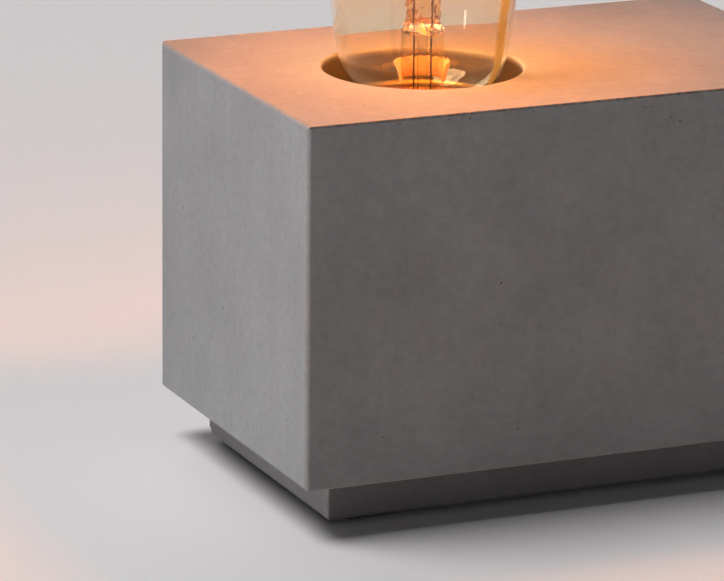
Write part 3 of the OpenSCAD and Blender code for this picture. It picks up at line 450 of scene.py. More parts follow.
# Tool rings 0.2 mm apart, and tarnish in patches 3 mm wide
bar_brass = mottled("turned_bar_brass", patch=(3, 3, 0.4, 0.7, 0.6), tones=("#D2AA5E", "#A67C3C"),
                    gloss=(0.22, 0.4), grain=(0.2, 1), relief=0.03, stretch=(0.1, 0.1, 1), Metallic=1)
dressed(bar_brass, "block_inserts", "small_inserts")
refined("terminal_tubes", "terminal_barrels", 0.15, bar_brass)
refined("riveted_posts", "holder_posts", 0.25, bar_brass)

# The tube is threaded all along, a turn each millimetre
thread_brass, tree, place = begin("threaded_tube_brass")
turns = {"Vector": place, "Scale": 2 * math.pi / 20 / mm}
turns = put(tree, "TexWave", turns, wave_type="BANDS", bands_direction="Z").outputs["Fac"]
shaded = put(tree, "Mix", {"Factor": turns, 6: tint("#8F6C34"), 7: tint("#D2AA5E")}, data_type="RGBA")
cut_thread = {
    "Base Color": shaded, "Metallic": 1, "Roughness": 0.3,
    "Normal": put(tree, "Bump", {"Height": turns, "Distance": 0.3 * mm}),
}
put(tree, "OutputMaterial", {"Surface": put(tree, "BsdfPrincipled", cut_thread)})
dressed(thread_brass, "nipple")


# The cord clamp's bar and the terminal strip are moulded in nylon: off-white, slightly clouded, with a
# soft sheen and the fine spark grain of their mould.
def moulded_nylon(name, tone, deeper):
    finish, tree, place = begin(name)
    # Sink clouds 6 mm wide, a sheen that varies over 1.5 mm and a mould grain of 0.25 mm
    sunk = put(tree, "TexNoise", {"Vector": place, "Scale": 1 / (6 * mm)})
    sunk = put(tree, "MapRange", {0: sunk, 1: 0.3, 2: 0.7})
    sheen = put(tree, "TexNoise", {"Vector": place, "Scale": 1 / (1.5 * mm)})
    grain = put(tree, "TexNoise", {"Vector": place, "Scale": 1 / (0.25 * mm)})
    body = {
        "Base Color": put(tree, "Mix", {"Factor": sunk, 6: tint(tone), 7: tint(deeper)}, data_type="RGBA"),
        "Roughness": put(tree, "MapRange", {0: sheen, 1: 0.3, 2: 0.7, 3: 0.38, 4: 0.52}),
        "Normal": put(tree, "Bump", {"Height": grain, "Distance": 0.03 * mm}), "IOR": 1.53,
        "Subsurface Weight": 0.1, "Subsurface Radius": (1 * mm, 0.8 * mm, 0.6 * mm),
    }
    put(tree, "OutputMaterial", {"Surface": put(tree, "BsdfPrincipled", body)})
    return finish


refined("cord_clamp_bar", "cord_clamp", 0.3, moulded_nylon("moulded_natural_nylon", "#E2DDD2", "#D3CDC0"))
refined("terminal_strip", "terminal_body", 0.3, moulded_nylon("moulded_white_nylon", "#EFEDE7", "#E0DDD4"))


# The leads inside are single wires in extruded PVC: brown for live, blue for neutral, and green and
# yellow in stripes for earth. The skin is smooth and half glossy.
def extruded_pvc(name, tone, stripe=None):
    finish, tree, place = begin(name)
    # Faint scuffs 1 mm wide over a skin with a 0.6 mm ripple; the stripes repeat every 4 mm
    scuff = put(tree, "TexNoise", {"Vector": place, "Scale": 1 / mm, "Detail": 3})
    scuff = put(tree, "MapRange", {0: scuff, 1: 0.45, 2: 0.7, 3: 0, 4: 0.25})
    colour = put(tree, "Mix", {"Factor": scuff, 6: tint(tone), 7: tint("#B8B4AC")}, data_type="RGBA")
    if stripe:
        bands = {"Vector": place, "Scale": 2 * math.pi / 20 / (4 * mm), "Distortion": 0.4}
        bands = put(tree, "TexWave", bands, wave_type="BANDS", bands_direction="DIAGONAL").outputs["Fac"]
        bands = put(tree, "MapRange", {0: bands, 1: 0.45, 2: 0.55})
        colour = put(tree, "Mix", {"Factor": bands, 6: colour, 7: tint(stripe)}, data_type="RGBA")
    ripple = put(tree, "TexNoise", {"Vector": place, "Scale": 1 / (0.6 * mm)})
    skin = {
        "Base Color": colour, "IOR": 1.53,
        "Roughness": put(tree, "MapRange", {0: scuff, 1: 0, 2: 0.25, 3: 0.35, 4: 0.55}),
        "Normal": put(tree, "Bump", {"Height": ripple, "Distance": 0.03 * mm}),
    }
    put(tree, "OutputMaterial", {"Surface": put(tree, "BsdfPrincipled", skin)})
    return finish


for name, node, finish, slot in (
    ("live_wire", "live_lead", extruded_pvc("extruded_brown_pvc", "#6A3E24"), "live_insulation"),
    ("neutral_wire", "neutral_lead", extruded_pvc("extruded_blue_pvc", "#2F5CA6"), "neutral_insulation"),
    ("earth_wire", "earth_lead", extruded_pvc("extruded_striped_pvc", "#3F8F3C", "#E3C832"),
     "earth_insulation"),
):
    lead = made(name, copied(node))
    for face in lead.data.polygons:
        face.use_smooth = True
    placed(lead, finish, "base", node)


# The earth tag and the two contacts are stamped from phosphor bronze strip: reddish and half bright, with
# the lines of rolling along X, drawn 0.12 mm apart so that they show, and heat tint in patches of 2 mm.
bronze = mottled("rolled_phosphor_bronze", patch=(2, 3, 0.4, 0.7, 0.7), tones=("#CE9461", "#A9683C"),
                 gloss=(0.25, 0.4), grain=(0.12, 1), relief=0.015, stretch=(0.05, 1, 1), Metallic=1)
refined("earth_ring_tag", "earth_tag", 0.08, bronze)
refined("centre_tongue", "centre_contact", 0.06, bronze)
refined("side_riser", "side_contact", 0.06, bronze)


# The lampholder's two shells are spun from brass sheet and lacquered. The lower one carries the neck and
# the grub screw. The upper one screws over it and ends in a rolled bead, the gold rim in the recess.
def around(tree, place):
    """A point's distance from the lampholder's axis, its angle round that axis and its height."""
    centred = put(tree, "Mapping", {"Vector": place, "Location": (-bulb_axis.x, -bulb_axis.y, 0)})
    side = put(tree, "SeparateXYZ", {0: centred}).outputs
    flat = put(tree, "CombineXYZ", {0: side[0], 1: side[1]})
    away = put(tree, "VectorMath", {0: flat}, operation="LENGTH")
    angle = put(tree, "Math", {0: side[1], 1: side[0]}, operation="ARCTAN2")
    return away, angle, side[2]


def spun_brass(name, tone, deeper, rough):
    finish, tree, place = begin(name)
    away, angle, height = around(tree, place)
    # Spinning lines 0.35 mm apart run round the axis, and the lacquer clouds over 5 mm
    rings = put(tree, "CombineXYZ", {0: away, 1: height})
    rings = put(tree, "TexNoise", {"Vector": rings, "Scale": 1 / (0.35 * mm)})
    cloud = put(tree, "TexNoise", {"Vector": place, "Scale": 1 / (5 * mm), "Detail": 3})
    deep = put(tree, "MapRange", {0: cloud, 1: 0.35, 2: 0.7})
    metal = {
        "Base Color": put(tree, "Mix", {"Factor": deep, 6: tint(tone), 7: tint(deeper)}, data_type="RGBA"),
        "Roughness": put(tree, "MapRange", {0: cloud, 1: 0.3, 2: 0.7, 3: rough - 0.04, 4: rough + 0.08}),
        "Normal": put(tree, "Bump", {"Height": rings, "Distance": 0.05 * mm}),
        "Metallic": 1, "Coat Weight": 0.4, "Coat Roughness": 0.12,
    }
    put(tree, "OutputMaterial", {"Surface": put(tree, "BsdfPrincipled", metal)})
    return finish


def spun(line, steps=96, closed=True):
    """A line of (radius, height) in mm, spun round the lampholder's axis."""
    shape = bmesh.new()
    dots = [shape.verts.new((bulb_axis.x + r * mm, bulb_axis.y, z * mm)) for r, z in line]
    edges = [shape.edges.new(pair) for pair in zip(dots, dots[1:] + dots[:1] if closed else dots[1:])]
    bmesh.ops.spin(shape, geom=dots + edges, cent=(bulb_axis.x, bulb_axis.y, 0), axis=(0, 0, 1),
                   angle=2 * math.pi, steps=steps, use_merge=True)
    bmesh.ops.remove_doubles(shape, verts=shape.verts, dist=0.001 * mm)
    bmesh.ops.recalc_face_normals(shape, faces=shape.faces)
    return shape


def arc(centre, radius, start, end, steps):
    """Points round a centre, from one angle to another, in degrees."""
    turn = [math.radians(start + (end - start) * i / steps) for i in range(steps + 1)]
    return [(centre[0] + radius * math.cos(a), centre[1] + radius * math.sin(a)) for a in turn]


holder_brass = spun_brass("lacquered_spun_brass", "#DDAE66", "#C8924C", 0.2)
sleeve_low, sleeve_high = (corner.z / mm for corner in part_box("holder_sleeve"))
sleeve_high += 2
insert_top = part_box("holder_insert")[1].z / mm
sleeve_wall = 1.2
bead_r = 1.7
sleeve_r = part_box("holder_cap")[1].x / mm - bulb_axis.x / mm
bead = (sleeve_r - sleeve_wall / 2, sleeve_high - bead_r)
sleeve_line = [
    (sleeve_r - sleeve_wall, sleeve_low), (sleeve_r - 0.2, sleeve_low), (sleeve_r, sleeve_low + 0.3),
    (sleeve_r, sleeve_low + 8), (sleeve_r - 0.3, sleeve_low + 8.4), (sleeve_r - 0.3, sleeve_low + 9.2),
    (sleeve_r, sleeve_low + 9.6), (sleeve_r, sleeve_high - 5.5), (sleeve_r - 0.25, sleeve_high - 5.1),
    (sleeve_r - 0.25, sleeve_high - 4.5), (sleeve_r, sleeve_high - 4.1),
] + arc(bead, bead_r, -62, 242, 20) + [
    (sleeve_r - sleeve_wall, insert_top + 1), (sleeve_r - sleeve_wall - 2, insert_top + 1),
    (sleeve_r - sleeve_wall - 2.2, insert_top + 0.8), (sleeve_r - sleeve_wall - 2.2, insert_top),
    (sleeve_r - sleeve_wall, insert_top),
]
sleeve = made("beaded_sleeve", spun(sleeve_line, 128))
rounded(sleeve, 40)
placed(sleeve, holder_brass, "base", "holder_sleeve")
refined("domed_lower_shell", "holder_cap", 0.25, holder_brass)


# The body that insulates the contacts is pressed porcelain under a clear glaze: creamy white, glossy,
# with soft edges and a few iron specks.
porcelain, tree, place = begin("glazed_porcelain")
# The glaze pools over 8 mm and ripples over 3 mm; the specks lie 0.5 mm apart where they crowd
pooled = put(tree, "TexNoise", {"Vector": place, "Scale": 1 / (8 * mm)})
pooled = put(tree, "MapRange", {0: pooled, 1: 0.3, 2: 0.7})
fleck = put(tree, "TexNoise", {"Vector": place, "Scale": 1 / (0.5 * mm), "Detail": 1})
fleck = put(tree, "MapRange", {0: fleck, 1: 0.74, 2: 0.78, 3: 0, 4: 0.6})
cream = put(tree, "Mix", {"Factor": pooled, 6: tint("#F0EBDF"), 7: tint("#E5DDCB")}, data_type="RGBA")
ripple = put(tree, "TexNoise", {"Vector": place, "Scale": 1 / (3 * mm)})
glaze = {
    "Base Color": put(tree, "Mix", {"Factor": fleck, 6: cream, 7: tint("#7A5A3C")}, data_type="RGBA"),
    "Roughness": 0.28, "Coat Weight": 0.8, "Coat Roughness": 0.06, "IOR": 1.5,
    "Normal": put(tree, "Bump", {"Height": ripple, "Distance": 0.08 * mm}),
}
put(tree, "OutputMaterial", {"Surface": put(tree, "BsdfPrincipled", glaze)})
refined("porcelain_body", "holder_insert", 0.5, porcelain)


# The screw shell and the bulb's cap are rolled from thin sheet with the same rounded thread, 3.63 mm a
# turn, so that one runs in the other with a third of a millimetre between them.
thread_lead = 3.629
thread_depth = 1.0
crest_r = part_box("bulb_cap")[1].x / mm - bulb_axis.x / mm - 0.6
cap_low, cap_rim = (corner.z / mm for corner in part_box("bulb_cap"))
shell_low, shell_top = (corner.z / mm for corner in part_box("screw_shell"))
thread_gap = 0.3


def faded(value, low, high):
    """0 below low, 1 above high, and a smooth rise between them."""
    part = min(max((value - low) / (high - low), 0), 1)
    return part * part * (3 - 2 * part)


def threaded(shape, reach):
    """Moves each point outwards by what reach(height, wave) says, where wave goes round with the thread."""
    for vert in shape.verts:
        out = Vector((vert.co.x - bulb_axis.x, vert.co.y - bulb_axis.y, 0))
        height = vert.co.z / mm
        wave = (1 + math.cos(2 * math.pi * height / thread_lead - math.atan2(out.y, out.x))) / 2
        if out.length > 0:
            vert.co += out.normalized() * reach(height, wave) * mm


def fine(low, high, step):
    """Evenly spaced heights."""
    count = round((high - low) / step)
    return [low + (high - low) * i / count for i in range(count + 1)]


thread_rows = 0.33
shell_wall = 0.45
shell_crest = crest_r + thread_gap - thread_depth
shell_hole = 10.7
shell_foot = [(shell_hole, shell_low), (shell_crest + shell_wall, shell_low)]
shell_outer = [(shell_crest + shell_wall, z) for z in fine(shell_low + 0.6, shell_top, thread_rows)]
shell_inner = [(shell_crest, z) for z in fine(shell_low + 0.6, shell_top, thread_rows)]
shell_floor = [(shell_crest, shell_low + shell_wall), (shell_hole, shell_low + shell_wall)]
shell = spun(shell_foot + shell_outer + shell_inner[::-1] + shell_floor)
threaded(shell, lambda height, wave: faded(height, shell_low + 0.6, shell_low + 2.5) * thread_depth * (
    wave + (1 - wave) * faded(height, shell_top - 2.2, shell_top - 0.8)))
shell = made("rolled_thread_shell", shell)
rounded(shell, 50)
shell_brass = spun_brass("nickel_plated_brass", "#CDC6B4", "#B5AB94", 0.24)
placed(shell, shell_brass, "base", "screw_shell")


# The bulb's foot is a drop of solder on a ring of black glass. The cap is crimped in over that ring and
# flares at its rim, where it is cemented to the neck.
cap_wall = 0.4
root_r = crest_r - thread_depth
thread_top = cap_rim - 4.6
cap_outer = [
    (9.7, cap_low), (root_r - 1.6, cap_low + 0.2), (root_r - 0.5, cap_low + 0.9),
] + [(root_r, z) for z in fine(cap_low + 1.7, thread_top, thread_rows)] + [
    (crest_r - 0.5, thread_top + 0.5), (crest_r - 0.2, thread_top + 1), (crest_r - 0.1, cap_rim - 3.2),
    (crest_r + 0.25, cap_rim - 2.6), (crest_r + 0.6, cap_rim - 1.9), (crest_r + 0.6, cap_rim),
]


def walled(line, wall):
    """An outline drawn upwards, with a second one inside it that is wall(height) mm away."""
    inner = []
    for i, (r, z) in enumerate(line):
        (r0, z0), (r1, z1) = line[max(i - 1, 0)], line[min(i + 1, len(line) - 1)]
        along = Vector((r1 - r0, z1 - z0)).normalized()
        inner.append((max(r - wall(z) * along.y, 0), z + wall(z) * along.x))
    return line, inner


outer, inner = walled(cap_outer, lambda z: cap_wall)
cap = spun(outer + inner[::-1])
threaded(cap, lambda height, wave: thread_depth * wave * faded(height, cap_low + 1.7, cap_low + 4.5)
         * (1 - faded(height, thread_top - 1, thread_top + 0.4)))
cap = made("rolled_thread_cap", cap)
rounded(cap, 50)
placed(cap, spun_brass("rolled_cap_brass", "#D3AE66", "#B98F4B", 0.22), "bulb", "bulb_cap")

# Ripples 2 mm wide where it was pressed while soft, and pores of 0.4 mm
black_glass = mottled("fused_black_glass", patch=(0.4, 1, 0.66, 0.74, 1), tones=("#17151B", "#3A363C"),
                      gloss=(0.08, 0.5), grain=(2, 2), relief=0.15, IOR=1.52)
ring_low, ring_top = (corner.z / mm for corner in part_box("bulb_insulator"))
ring_line = [
    (0, ring_low), (5.1, ring_low), (5.8, ring_low + 0.25), (7.6, ring_low + 1.9), (9.4, ring_low + 2.7),
    (10.1, ring_low + 3.2), (10.2, ring_top), (0, ring_top),
]
ring = made("black_glass_ring", spun(ring_line, 64, closed=False))
rounded(ring, 50)
placed(ring, black_glass, "bulb", "bulb_insulator")

solder, tree, place = begin("tinned_solder")
# Dull dross in patches 1.5 mm wide on bright tin
dross = put(tree, "TexNoise", {"Vector": place, "Scale": 1 / (1.5 * mm), "Detail": 3})
dross = put(tree, "MapRange", {0: dross, 1: 0.4, 2: 0.65})
dulled = put(tree, "Mix", {"Factor": dross, 6: tint("#C6C4BE"), 7: tint("#8E8B84")}, data_type="RGBA")
tin = {
    "Base Color": dulled, "Metallic": 1,
    "Roughness": put(tree, "MapRange", {0: dross, 1: 0, 2: 1, 3: 0.25, 4: 0.55}),
    "Normal": put(tree, "Bump", {"Height": dross, "Distance": 0.08 * mm}),
}
put(tree, "OutputMaterial", {"Surface": put(tree, "BsdfPrincipled", tin)})
tip_low, tip_top = (corner.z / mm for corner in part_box("bulb_tip"))
drop = spun([
    (0, tip_low), (1.4, tip_low + 0.06), (2.6, tip_low + 0.35), (3.5, tip_low + 0.8), (4.1, tip_low + 1.35),
    (4.35, tip_low + 1.9), (4.35, tip_top), (0, tip_top),
], 48, closed=False)
for vert in drop.verts:
    vert.co.z += 0.12 * mm * noise.noise(vert.co / (1.8 * mm)) * (vert.co.z < tip_low * mm + 1.5 * mm)
drop = made("solder_contact", drop)
rounded(drop, 50)
placed(drop, solder, "bulb_foot", "bulb_tip")


# The envelope is blown soda glass, thin at the shoulder and thicker above it, dipped in an amber lacquer
# that thins out towards the cap and has left one run down the glass.
def smoothed(points, steps):
    """A smooth line that goes through every point."""
    line = []
    for i in range(len(points) - 1):
        a, b, c, d = (Vector(points[min(max(k, 0), len(points) - 1)]) for k in range(i - 1, i + 3))
        for s in range(steps):
            t = s / steps
            line.append(tuple(0.5 * (2 * b + (c - a) * t + (2 * a - 5 * b + 4 * c - d) * t * t
                                     + (3 * b - a - 3 * c + d) * t ** 3)))
    return line + [tuple(points[-1])]


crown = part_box("bulb_glass")[1].z / mm
# Radius, and height above the cap's rim, in mm
outline = smoothed([(r, cap_rim + z) for r, z in (
    (12.2, -6), (12.2, -1.4), (12.8, 0.6), (16.8, 3.2), (21.1, 7), (23.8, 12.6), (25.5, 21), (26.8, 31),
    (29.6, 53.7), (31.6, 73), (31.8, 84.8), (29, 97.4), (22.4, 107.4), (12.8, 112.9), (5.1, 114.7),
)] + [(0, crown)], 8)


def glass_wall(height):
    """Thin at the shoulder, thicker by 36 microns a millimetre up to the waist, and thinner to the crown."""
    shoulder, waist = 118, 150
    rise = min(max(height - shoulder, 0), waist - shoulder)
    return 0.4 + 0.036 * rise - 0.75 * faded(height, 155, 200)


outer, inner = walled(outline, glass_wall)
envelope = made("blown_envelope", spun(outer[::-1] + inner, 128, closed=False))
rounded(envelope, 60)
amber, tree, place = begin("amber_lacquered_glass")
away, angle, height = around(tree, place)
# The coat's lower edge wanders by 3 mm over 14 mm of glass
wander = put(tree, "TexNoise", {"Vector": place, "Scale": 1 / (14 * mm)})
wander = put(tree, "MapRange", {0: wander, 1: 0.3, 2: 0.7, 3: -3 * mm, 4: 3 * mm})
level_here = put(tree, "Math", {0: height, 1: wander}, operation="ADD")
coat = tint("#FFF5DC")
for start, end, code in ((122 * mm, 139 * mm, "#FFEEDC"), (137 * mm, 152 * mm, "#FFDDBD")):
    part = put(tree, "MapRange", {0: level_here, 1: start, 2: end})
    coat = put(tree, "Mix", {"Factor": part, 6: coat, 7: tint(code)}, data_type="RGBA")
# The run is 3 to 7 mm wide, sways a little over 20 mm and starts above the waist
run_angle = math.radians(-52)
sway = put(tree, "TexNoise", {"Vector": place, "Scale": 1 / (20 * mm), "Detail": 1})
sway = put(tree, "MapRange", {0: sway, 1: 0.3, 2: 0.7, 3: -0.03, 4: 0.03})
aside = put(tree, "Math", {0: angle, 1: run_angle}, operation="SUBTRACT")
aside = put(tree, "Math", {0: aside, 1: sway}, operation="ADD")
aside = put(tree, "Math", {0: aside}, operation="ABSOLUTE")
run = put(tree, "MapRange", {0: aside, 1: 0.06, 2: 0.13, 3: 0.85, 4: 0}, interpolation_type="SMOOTHSTEP")
start = put(tree, "MapRange", {0: height, 1: 152 * mm, 2: 172 * mm, 3: 1, 4: 0})
run = put(tree, "Math", {0: run, 1: start}, operation="MULTIPLY")
lacquer = put(tree, "Mix", {"Factor": run, 6: coat, 7: tint("#B8985E")}, data_type="RGBA")
# Painted glow: the glass emits a faint orange light where the coat is full, standing in for the filament's
# light scattered in it
painted_glow = put(tree, "MapRange", {0: level_here, 1: 132 * mm, 2: 150 * mm, 3: 0, 4: 0.05})
glass = put(tree, "BsdfPrincipled", {
    "Base Color": lacquer, "Roughness": 0, "IOR": 1.52, "Transmission Weight": 1,
    "Emission Color": tint("#FF8A3A"), "Emission Strength": painted_glow,
})
# Where it ran, the lacquer is thick enough to turn cloudy
cloudy = put(tree, "BsdfTranslucent", {"Color": tint("#8E7A48")})
cloudy_part = put(tree, "Math", {0: run, 1: 0.5}, operation="MULTIPLY")
coated = put(tree, "MixShader", {0: cloudy_part, 1: glass, 2: cloudy})
# Light that only passes on its way to something else is tinted by half a wall at each of its two faces
half_wall = put(tree, "Gamma", {"Color": lacquer, "Gamma": 0.5})
through = put(tree, "BsdfTransparent", {"Color": half_wall})
passing = put(tree, "LightPath").outputs["Is Shadow Ray"]
put(tree, "OutputMaterial", {"Surface": put(tree, "MixShader", {0: passing, 1: coated, 2: through})})
amber.cycles.emission_sampling = "NONE"
placed(envelope, amber, "bulb", "bulb_glass")


# The stem is a drawn clear tube, flared into the neck below and pinched flat on the wires above. The
# pinch was squeezed while soft, so it is solid and lumpy, and it glints; its amber tint is painted light.
stem_r = 6.2
stem_low = cap_rim - 5
pinch_low, pinch_high = (cap_rim + z for z in (21.4, 37))
stem_skin = smoothed([
    (10.9, stem_low), (10.7, stem_low + 1.4), (8.1, stem_low + 4.5), (stem_r, stem_low + 7.5),
    (stem_r, stem_low + 10), (stem_r, pinch_low),
], 4)
drawn, hollow = walled(stem_skin, lambda z: 0.35)
dome = [(5.6, pinch_low + 0.5), (4.8, pinch_low + 0.9), (3.2, pinch_low + 1.3), (1.5, pinch_low + 1.5),
        (0, pinch_low + 1.5)]
swell = [(stem_r + 0.1, z) for z in fine(pinch_low + 0.4, pinch_high - 0.8, 0.4)]
head = [
    (stem_r - 0.5, pinch_high - 0.2), (stem_r - 2.2, pinch_high), (stem_r / 2, pinch_high), (0, pinch_high),
]
stem = spun((drawn + swell + head)[::-1] + hollow + dome, 72, closed=False)
mount_angle = math.radians(-23.5)
wide = Vector((math.cos(mount_angle), math.sin(mount_angle), 0))
thick = Vector((-wide.y, wide.x, 0))
pinch_half = (4.7, 2.1)
for vert in stem.verts:
    height = vert.co.z / mm
    out = Vector((vert.co.x - bulb_axis.x, vert.co.y - bulb_axis.y, 0))
    flat = faded(height, pinch_low + 0.2, pinch_low + 4.6)
    along = out.dot(wide) * (1 + (pinch_half[0] / stem_r - 1) * flat)
    across = out.dot(thick) * (1 + (pinch_half[1] / stem_r - 1) * flat)
    lump = 1 + faded(height, pinch_low - 0.5, pinch_low + 2) * (
        0.16 * noise.noise(vert.co / (2.6 * mm)) + 0.09 * noise.noise(vert.co / (1.2 * mm)))
    vert.co = Vector((bulb_axis.x, bulb_axis.y, vert.co.z)) + wide * along * lump + thick * across * lump
stem = made("pinched_stem", stem)
rounded(stem, 60)
clear, tree, place = begin("clear_drawn_glass")
# Drawing left faint ripples 3 mm long
long = put(tree, "Mapping", {"Vector": place, "Scale": (1, 1, 0.4)})
ripple = put(tree, "TexNoise", {"Vector": long, "Scale": 1 / (1.2 * mm), "Detail": 1})
ripple = put(tree, "Bump", {"Height": ripple, "Distance": 0.03 * mm})
# Painted light: above the pinch's foot the clear glass is tinted amber, standing in for the filament's
# orange light caught in it
solid = put(tree, "BsdfPrincipled", {
    "Base Color": tint("#FFDAAC"), "Roughness": 0, "IOR": 1.5, "Transmission Weight": 1, "Normal": ripple,
})
# The tubes are too thin to bend what is seen through them and only mirror at their edges
bare = put(tree, "BsdfTransparent", {"Color": tint("#FFFCF6")})
shine = put(tree, "BsdfGlossy", {"Roughness": 0.03, "Normal": ripple})
behind = put(tree, "NewGeometry").outputs["Backfacing"]
index = put(tree, "Math", {0: behind, 1: 1 / 1.5 - 1.5, 2: 1.5}, operation="MULTIPLY_ADD")
film = put(tree, "MixShader", {0: put(tree, "Fresnel", {"IOR": index}), 1: bare, 2: shine})
height = put(tree, "SeparateXYZ", {0: place}).outputs[2]
pinched = put(tree, "Math", {0: height, 1: (pinch_low + 0.4) * mm}, operation="GREATER_THAN")
put(tree, "OutputMaterial", {"Surface": put(tree, "MixShader", {0: pinched, 1: film, 2: solid})})
placed(stem, clear, "bulb", "bulb_stem")
stem.visible_shadow = False

tube_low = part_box("exhaust_tube")[0].z / mm
outer, inner = walled([(1.45, z) for z in fine(tube_low, pinch_low + 0.3, 4)], lambda z: 0.15)
tube = made("exhaust_tube_glass", spun(outer + inner[::-1], 32))
rounded(tube, 50)
fine_tube, tree, place = begin("fine_tube_glass")
# Ripples 2.5 mm long along a tube no thicker than a straw
long = put(tree, "Mapping", {"Vector": place, "Scale": (1, 1, 0.4)})
ripple = put(tree, "TexNoise", {"Vector": long, "Scale": 1 / mm, "Detail": 1})
ripple = put(tree, "Bump", {"Height": ripple, "Distance": 0.01 * mm})
glass = {
    "Base Color": tint("#FFFDF8"), "Roughness": 0, "IOR": 1.5, "Transmission Weight": 1, "Normal": ripple,
}
put(tree, "OutputMaterial", {"Surface": put(tree, "BsdfPrincipled", glass)})
placed(tube, fine_tube, "bulb", "exhaust_tube")
tube.visible_shadow = False

rod_low, rod_top = (corner.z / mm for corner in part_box("glass_rod"))
button_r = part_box("glass_rod")[1].x / mm - bulb_axis.x / mm
rod_r = 1.6
rise = math.degrees(math.acos(rod_r / button_r))
rod_line = [(0, rod_low), (rod_r, rod_low)]
for middle, last in ((rod_low + button_r + 4, rise), (rod_top - button_r, 90)):
    rod_line += arc((0, middle), button_r, -rise, last, 12)
rod = made("buttoned_rod", spun(rod_line, 40, closed=False))
rounded(rod, 60)
placed(rod, clear, "bulb", "glass_rod")
rod.visible_shadow = False


# A strip of gilt foil is wrapped round the stem behind the wires. It is crumpled by hand: torn at the
# top, creased upright and open at the front.
foil_low, foil_top = (corner.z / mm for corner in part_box("foil_collar"))
foil_r = stem_r + 0.35
foil_spread = 1.3
foil_open = math.radians(120)
foil = bmesh.new()
bmesh.ops.create_grid(foil, x_segments=110, y_segments=14, size=0.5)
for vert in foil.verts:
    part, rise = vert.co.x + 0.5, vert.co.y + 0.5
    turn = mount_angle - math.pi / 2 + foil_open / 2 + part * (2 * math.pi - foil_open)
    crease = noise.noise((turn * 5.5, rise * 0.8, 0)) * 0.7 + noise.noise((turn * 17, rise, 4)) * 0.7
    crease += noise.noise((turn * 38, rise * 0.5, 7)) * 0.4
    torn = noise.noise((turn * 6, 0, 9)) * 0.9 + noise.noise((turn * 17, 0, 2)) * 0.5
    radius = foil_r + foil_spread * rise ** 1.6 + max(crease, -0.4) * (0.25 + 0.6 * rise)
    height = foil_low + (foil_top - foil_low) * rise * 0.93 + torn * rise
    vert.co = Vector((bulb_axis.x + radius * mm * math.cos(turn), bulb_axis.y + radius * mm * math.sin(turn),
                      min(height, foil_top) * mm))
foil = made("crumpled_foil", foil)
rounded(foil, 70)
skin = foil.modifiers.new("sheet", "SOLIDIFY")
skin.thickness = 0.1 * mm
skin.offset = 0
gilt, tree, place = begin("crumpled_gilt_foil")
# Fine crumples 0.6 mm wide, a sheen that varies over 1 mm, and soot in patches 2 mm wide
soot = put(tree, "TexNoise", {"Vector": place, "Scale": 1 / (2 * mm), "Detail": 3})
soot = put(tree, "MapRange", {0: soot, 1: 0.5, 2: 0.75, 3: 0, 4: 0.6})
sheen = put(tree, "TexNoise", {"Vector": place, "Scale": 1 / mm})
crumple = put(tree, "TexNoise", {"Vector": place, "Scale": 1 / (0.6 * mm)})
sooted = put(tree, "Mix", {"Factor": soot, 6: tint("#FFC583"), 7: tint("#C98046")}, data_type="RGBA")
leaf = {
    "Base Color": sooted, "Metallic": 0.35,
    "Roughness": put(tree, "MapRange", {0: sheen, 1: 0.3, 2: 0.7, 3: 0.35, 4: 0.5}),
    "Normal": put(tree, "Bump", {"Height": crumple, "Distance": 0.12 * mm}),
}
put(tree, "OutputMaterial", {"Surface": put(tree, "BsdfPrincipled", leaf)})
placed(foil, gilt, "bulb", "foil_collar")


# Two lead wires pass through the pinch, and hooks of fine wire stand out of the rod's buttons. Heat has
# blued and browned them.
# Scale in patches 1 mm long on a skin with a 0.3 mm grain
wire_metal = mottled("heat_browned_wire", patch=(1, 3, 0.4, 0.65, 1), tones=("#5A4333", "#2C1F18"),
                     gloss=(0.35, 0.6), grain=(0.3, 2), relief=0.02, Metallic=0.6)
for name, node in (("lead_in_wires", "lead_wires"), ("filament_hooks", "support_wires")):
    wires = made(name, copied(node))
    finer = wires.modifiers.new("rounder", "SUBSURF")
    finer.levels = finer.render_levels = 1
    for face in wires.data.polygons:
        face.use_smooth = True
    placed(wires, wire_metal, "bulb", node)


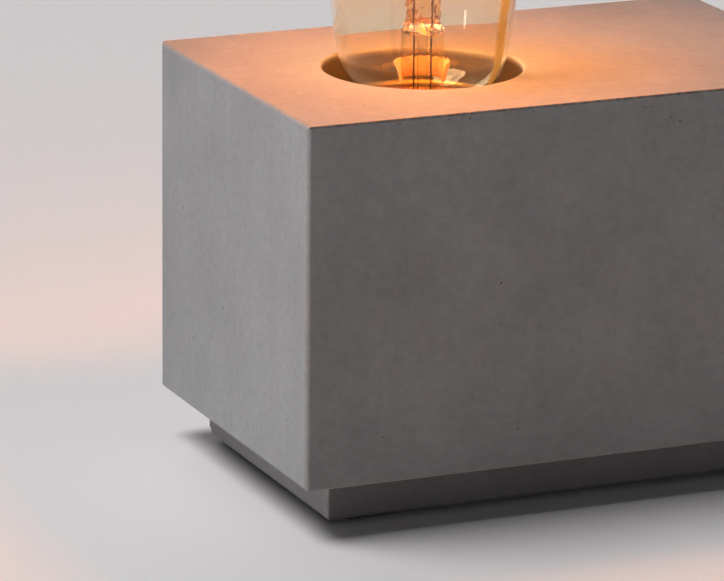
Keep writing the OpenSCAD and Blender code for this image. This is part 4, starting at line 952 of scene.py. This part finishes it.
# The filament is one long coil of tungsten, hung up and down over the hooks like the bars of a cage. It
# glows orange.
top_hooks = 6
cage_r = (14, 11)
filament_low, filament_high = (corner.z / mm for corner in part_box("filament"))
coil_r = 0.24
wire_r = 0.06
bend_r = 0.65
bend_steps = 6
hook_gap = 0.3
cage_step = 2 * math.pi / (2 * top_hooks + 1)
route = []
for k in range(2 * top_hooks + 1):
    upper = k % 2 == 1
    bend_z = filament_high - hook_gap - bend_r if upper else filament_low + hook_gap + bend_r
    a = mount_angle + math.pi / 2 + (k + 0.5) * cage_step
    radius = cage_r[upper]
    first, final = (0.5, 0) if k == 0 else (1, 0.5) if k == 2 * top_hooks else (1, 0)
    for s in range(bend_steps + 1):
        swing = math.pi * (first + (final - first) * s / bend_steps)
        side = bend_r * math.cos(swing)
        route.append(Vector((
            bulb_axis.x / mm + radius * math.cos(a) - side * math.sin(a),
            bulb_axis.y / mm + radius * math.sin(a) + side * math.cos(a),
            bend_z + (1 if upper else -1) * bend_r * math.sin(swing),
        )))
coil_lead = 0.5
coil_points = 9
curve = bpy.data.curves.new("coil", "CURVE")
curve.dimensions = "3D"
curve.bevel_depth = wire_r * mm
curve.bevel_resolution = 0
curve.use_fill_caps = True
turn = 0
winding = []
out = Vector((1, 0, 0))
for start, end in zip(route, route[1:]):
    ahead = (end - start).normalized()
    out = (out - ahead * out.dot(ahead)).normalized()
    side = ahead.cross(out)
    count = max(round((end - start).length / coil_lead * coil_points), 1)
    for s in range(count):
        turn += 2 * math.pi / coil_points
        winding.append(start.lerp(end, s / count) + coil_r * (out * math.cos(turn) + side * math.sin(turn)))
spline = curve.splines.new("POLY")
spline.points.add(len(winding) - 1)
for dot, where in zip(spline.points, winding):
    dot.co = (*(where * mm), 1)
coil = bpy.data.objects.new("coil", curve)
bpy.context.collection.objects.link(coil)
wound = bpy.data.meshes.new_from_object(coil.evaluated_get(bpy.context.evaluated_depsgraph_get()))
bpy.data.objects.remove(coil)
welded = bmesh.new()
welded.from_mesh(wound)
bmesh.ops.remove_doubles(welded, verts=welded.verts, dist=0.001 * mm)
welded.to_mesh(wound)
welded.free()
filament = bpy.data.objects.new("coiled_filament", wound)
bpy.context.collection.objects.link(filament)
for face in wound.polygons:
    face.use_smooth = True

tungsten, tree, place = begin("glowing_tungsten")
# Hotter and cooler stretches 6 mm long
heat = put(tree, "TexNoise", {"Vector": place, "Scale": 1 / (6 * mm), "Detail": 1})
heat = put(tree, "MapRange", {0: heat, 1: 0.3, 2: 0.7})
lit = put(tree, "Mix", {"Factor": heat, 6: tint("#FF9A3C"), 7: tint("#FFB35A")}, data_type="RGBA")
wire = {
    "Base Color": tint("#4A3A30"), "Roughness": 0.5, "Metallic": 0.5, "Emission Color": lit,
    "Emission Strength": 14,
}
put(tree, "OutputMaterial", {"Surface": put(tree, "BsdfPrincipled", wire)})
placed(filament, tungsten, "bulb", "filament")
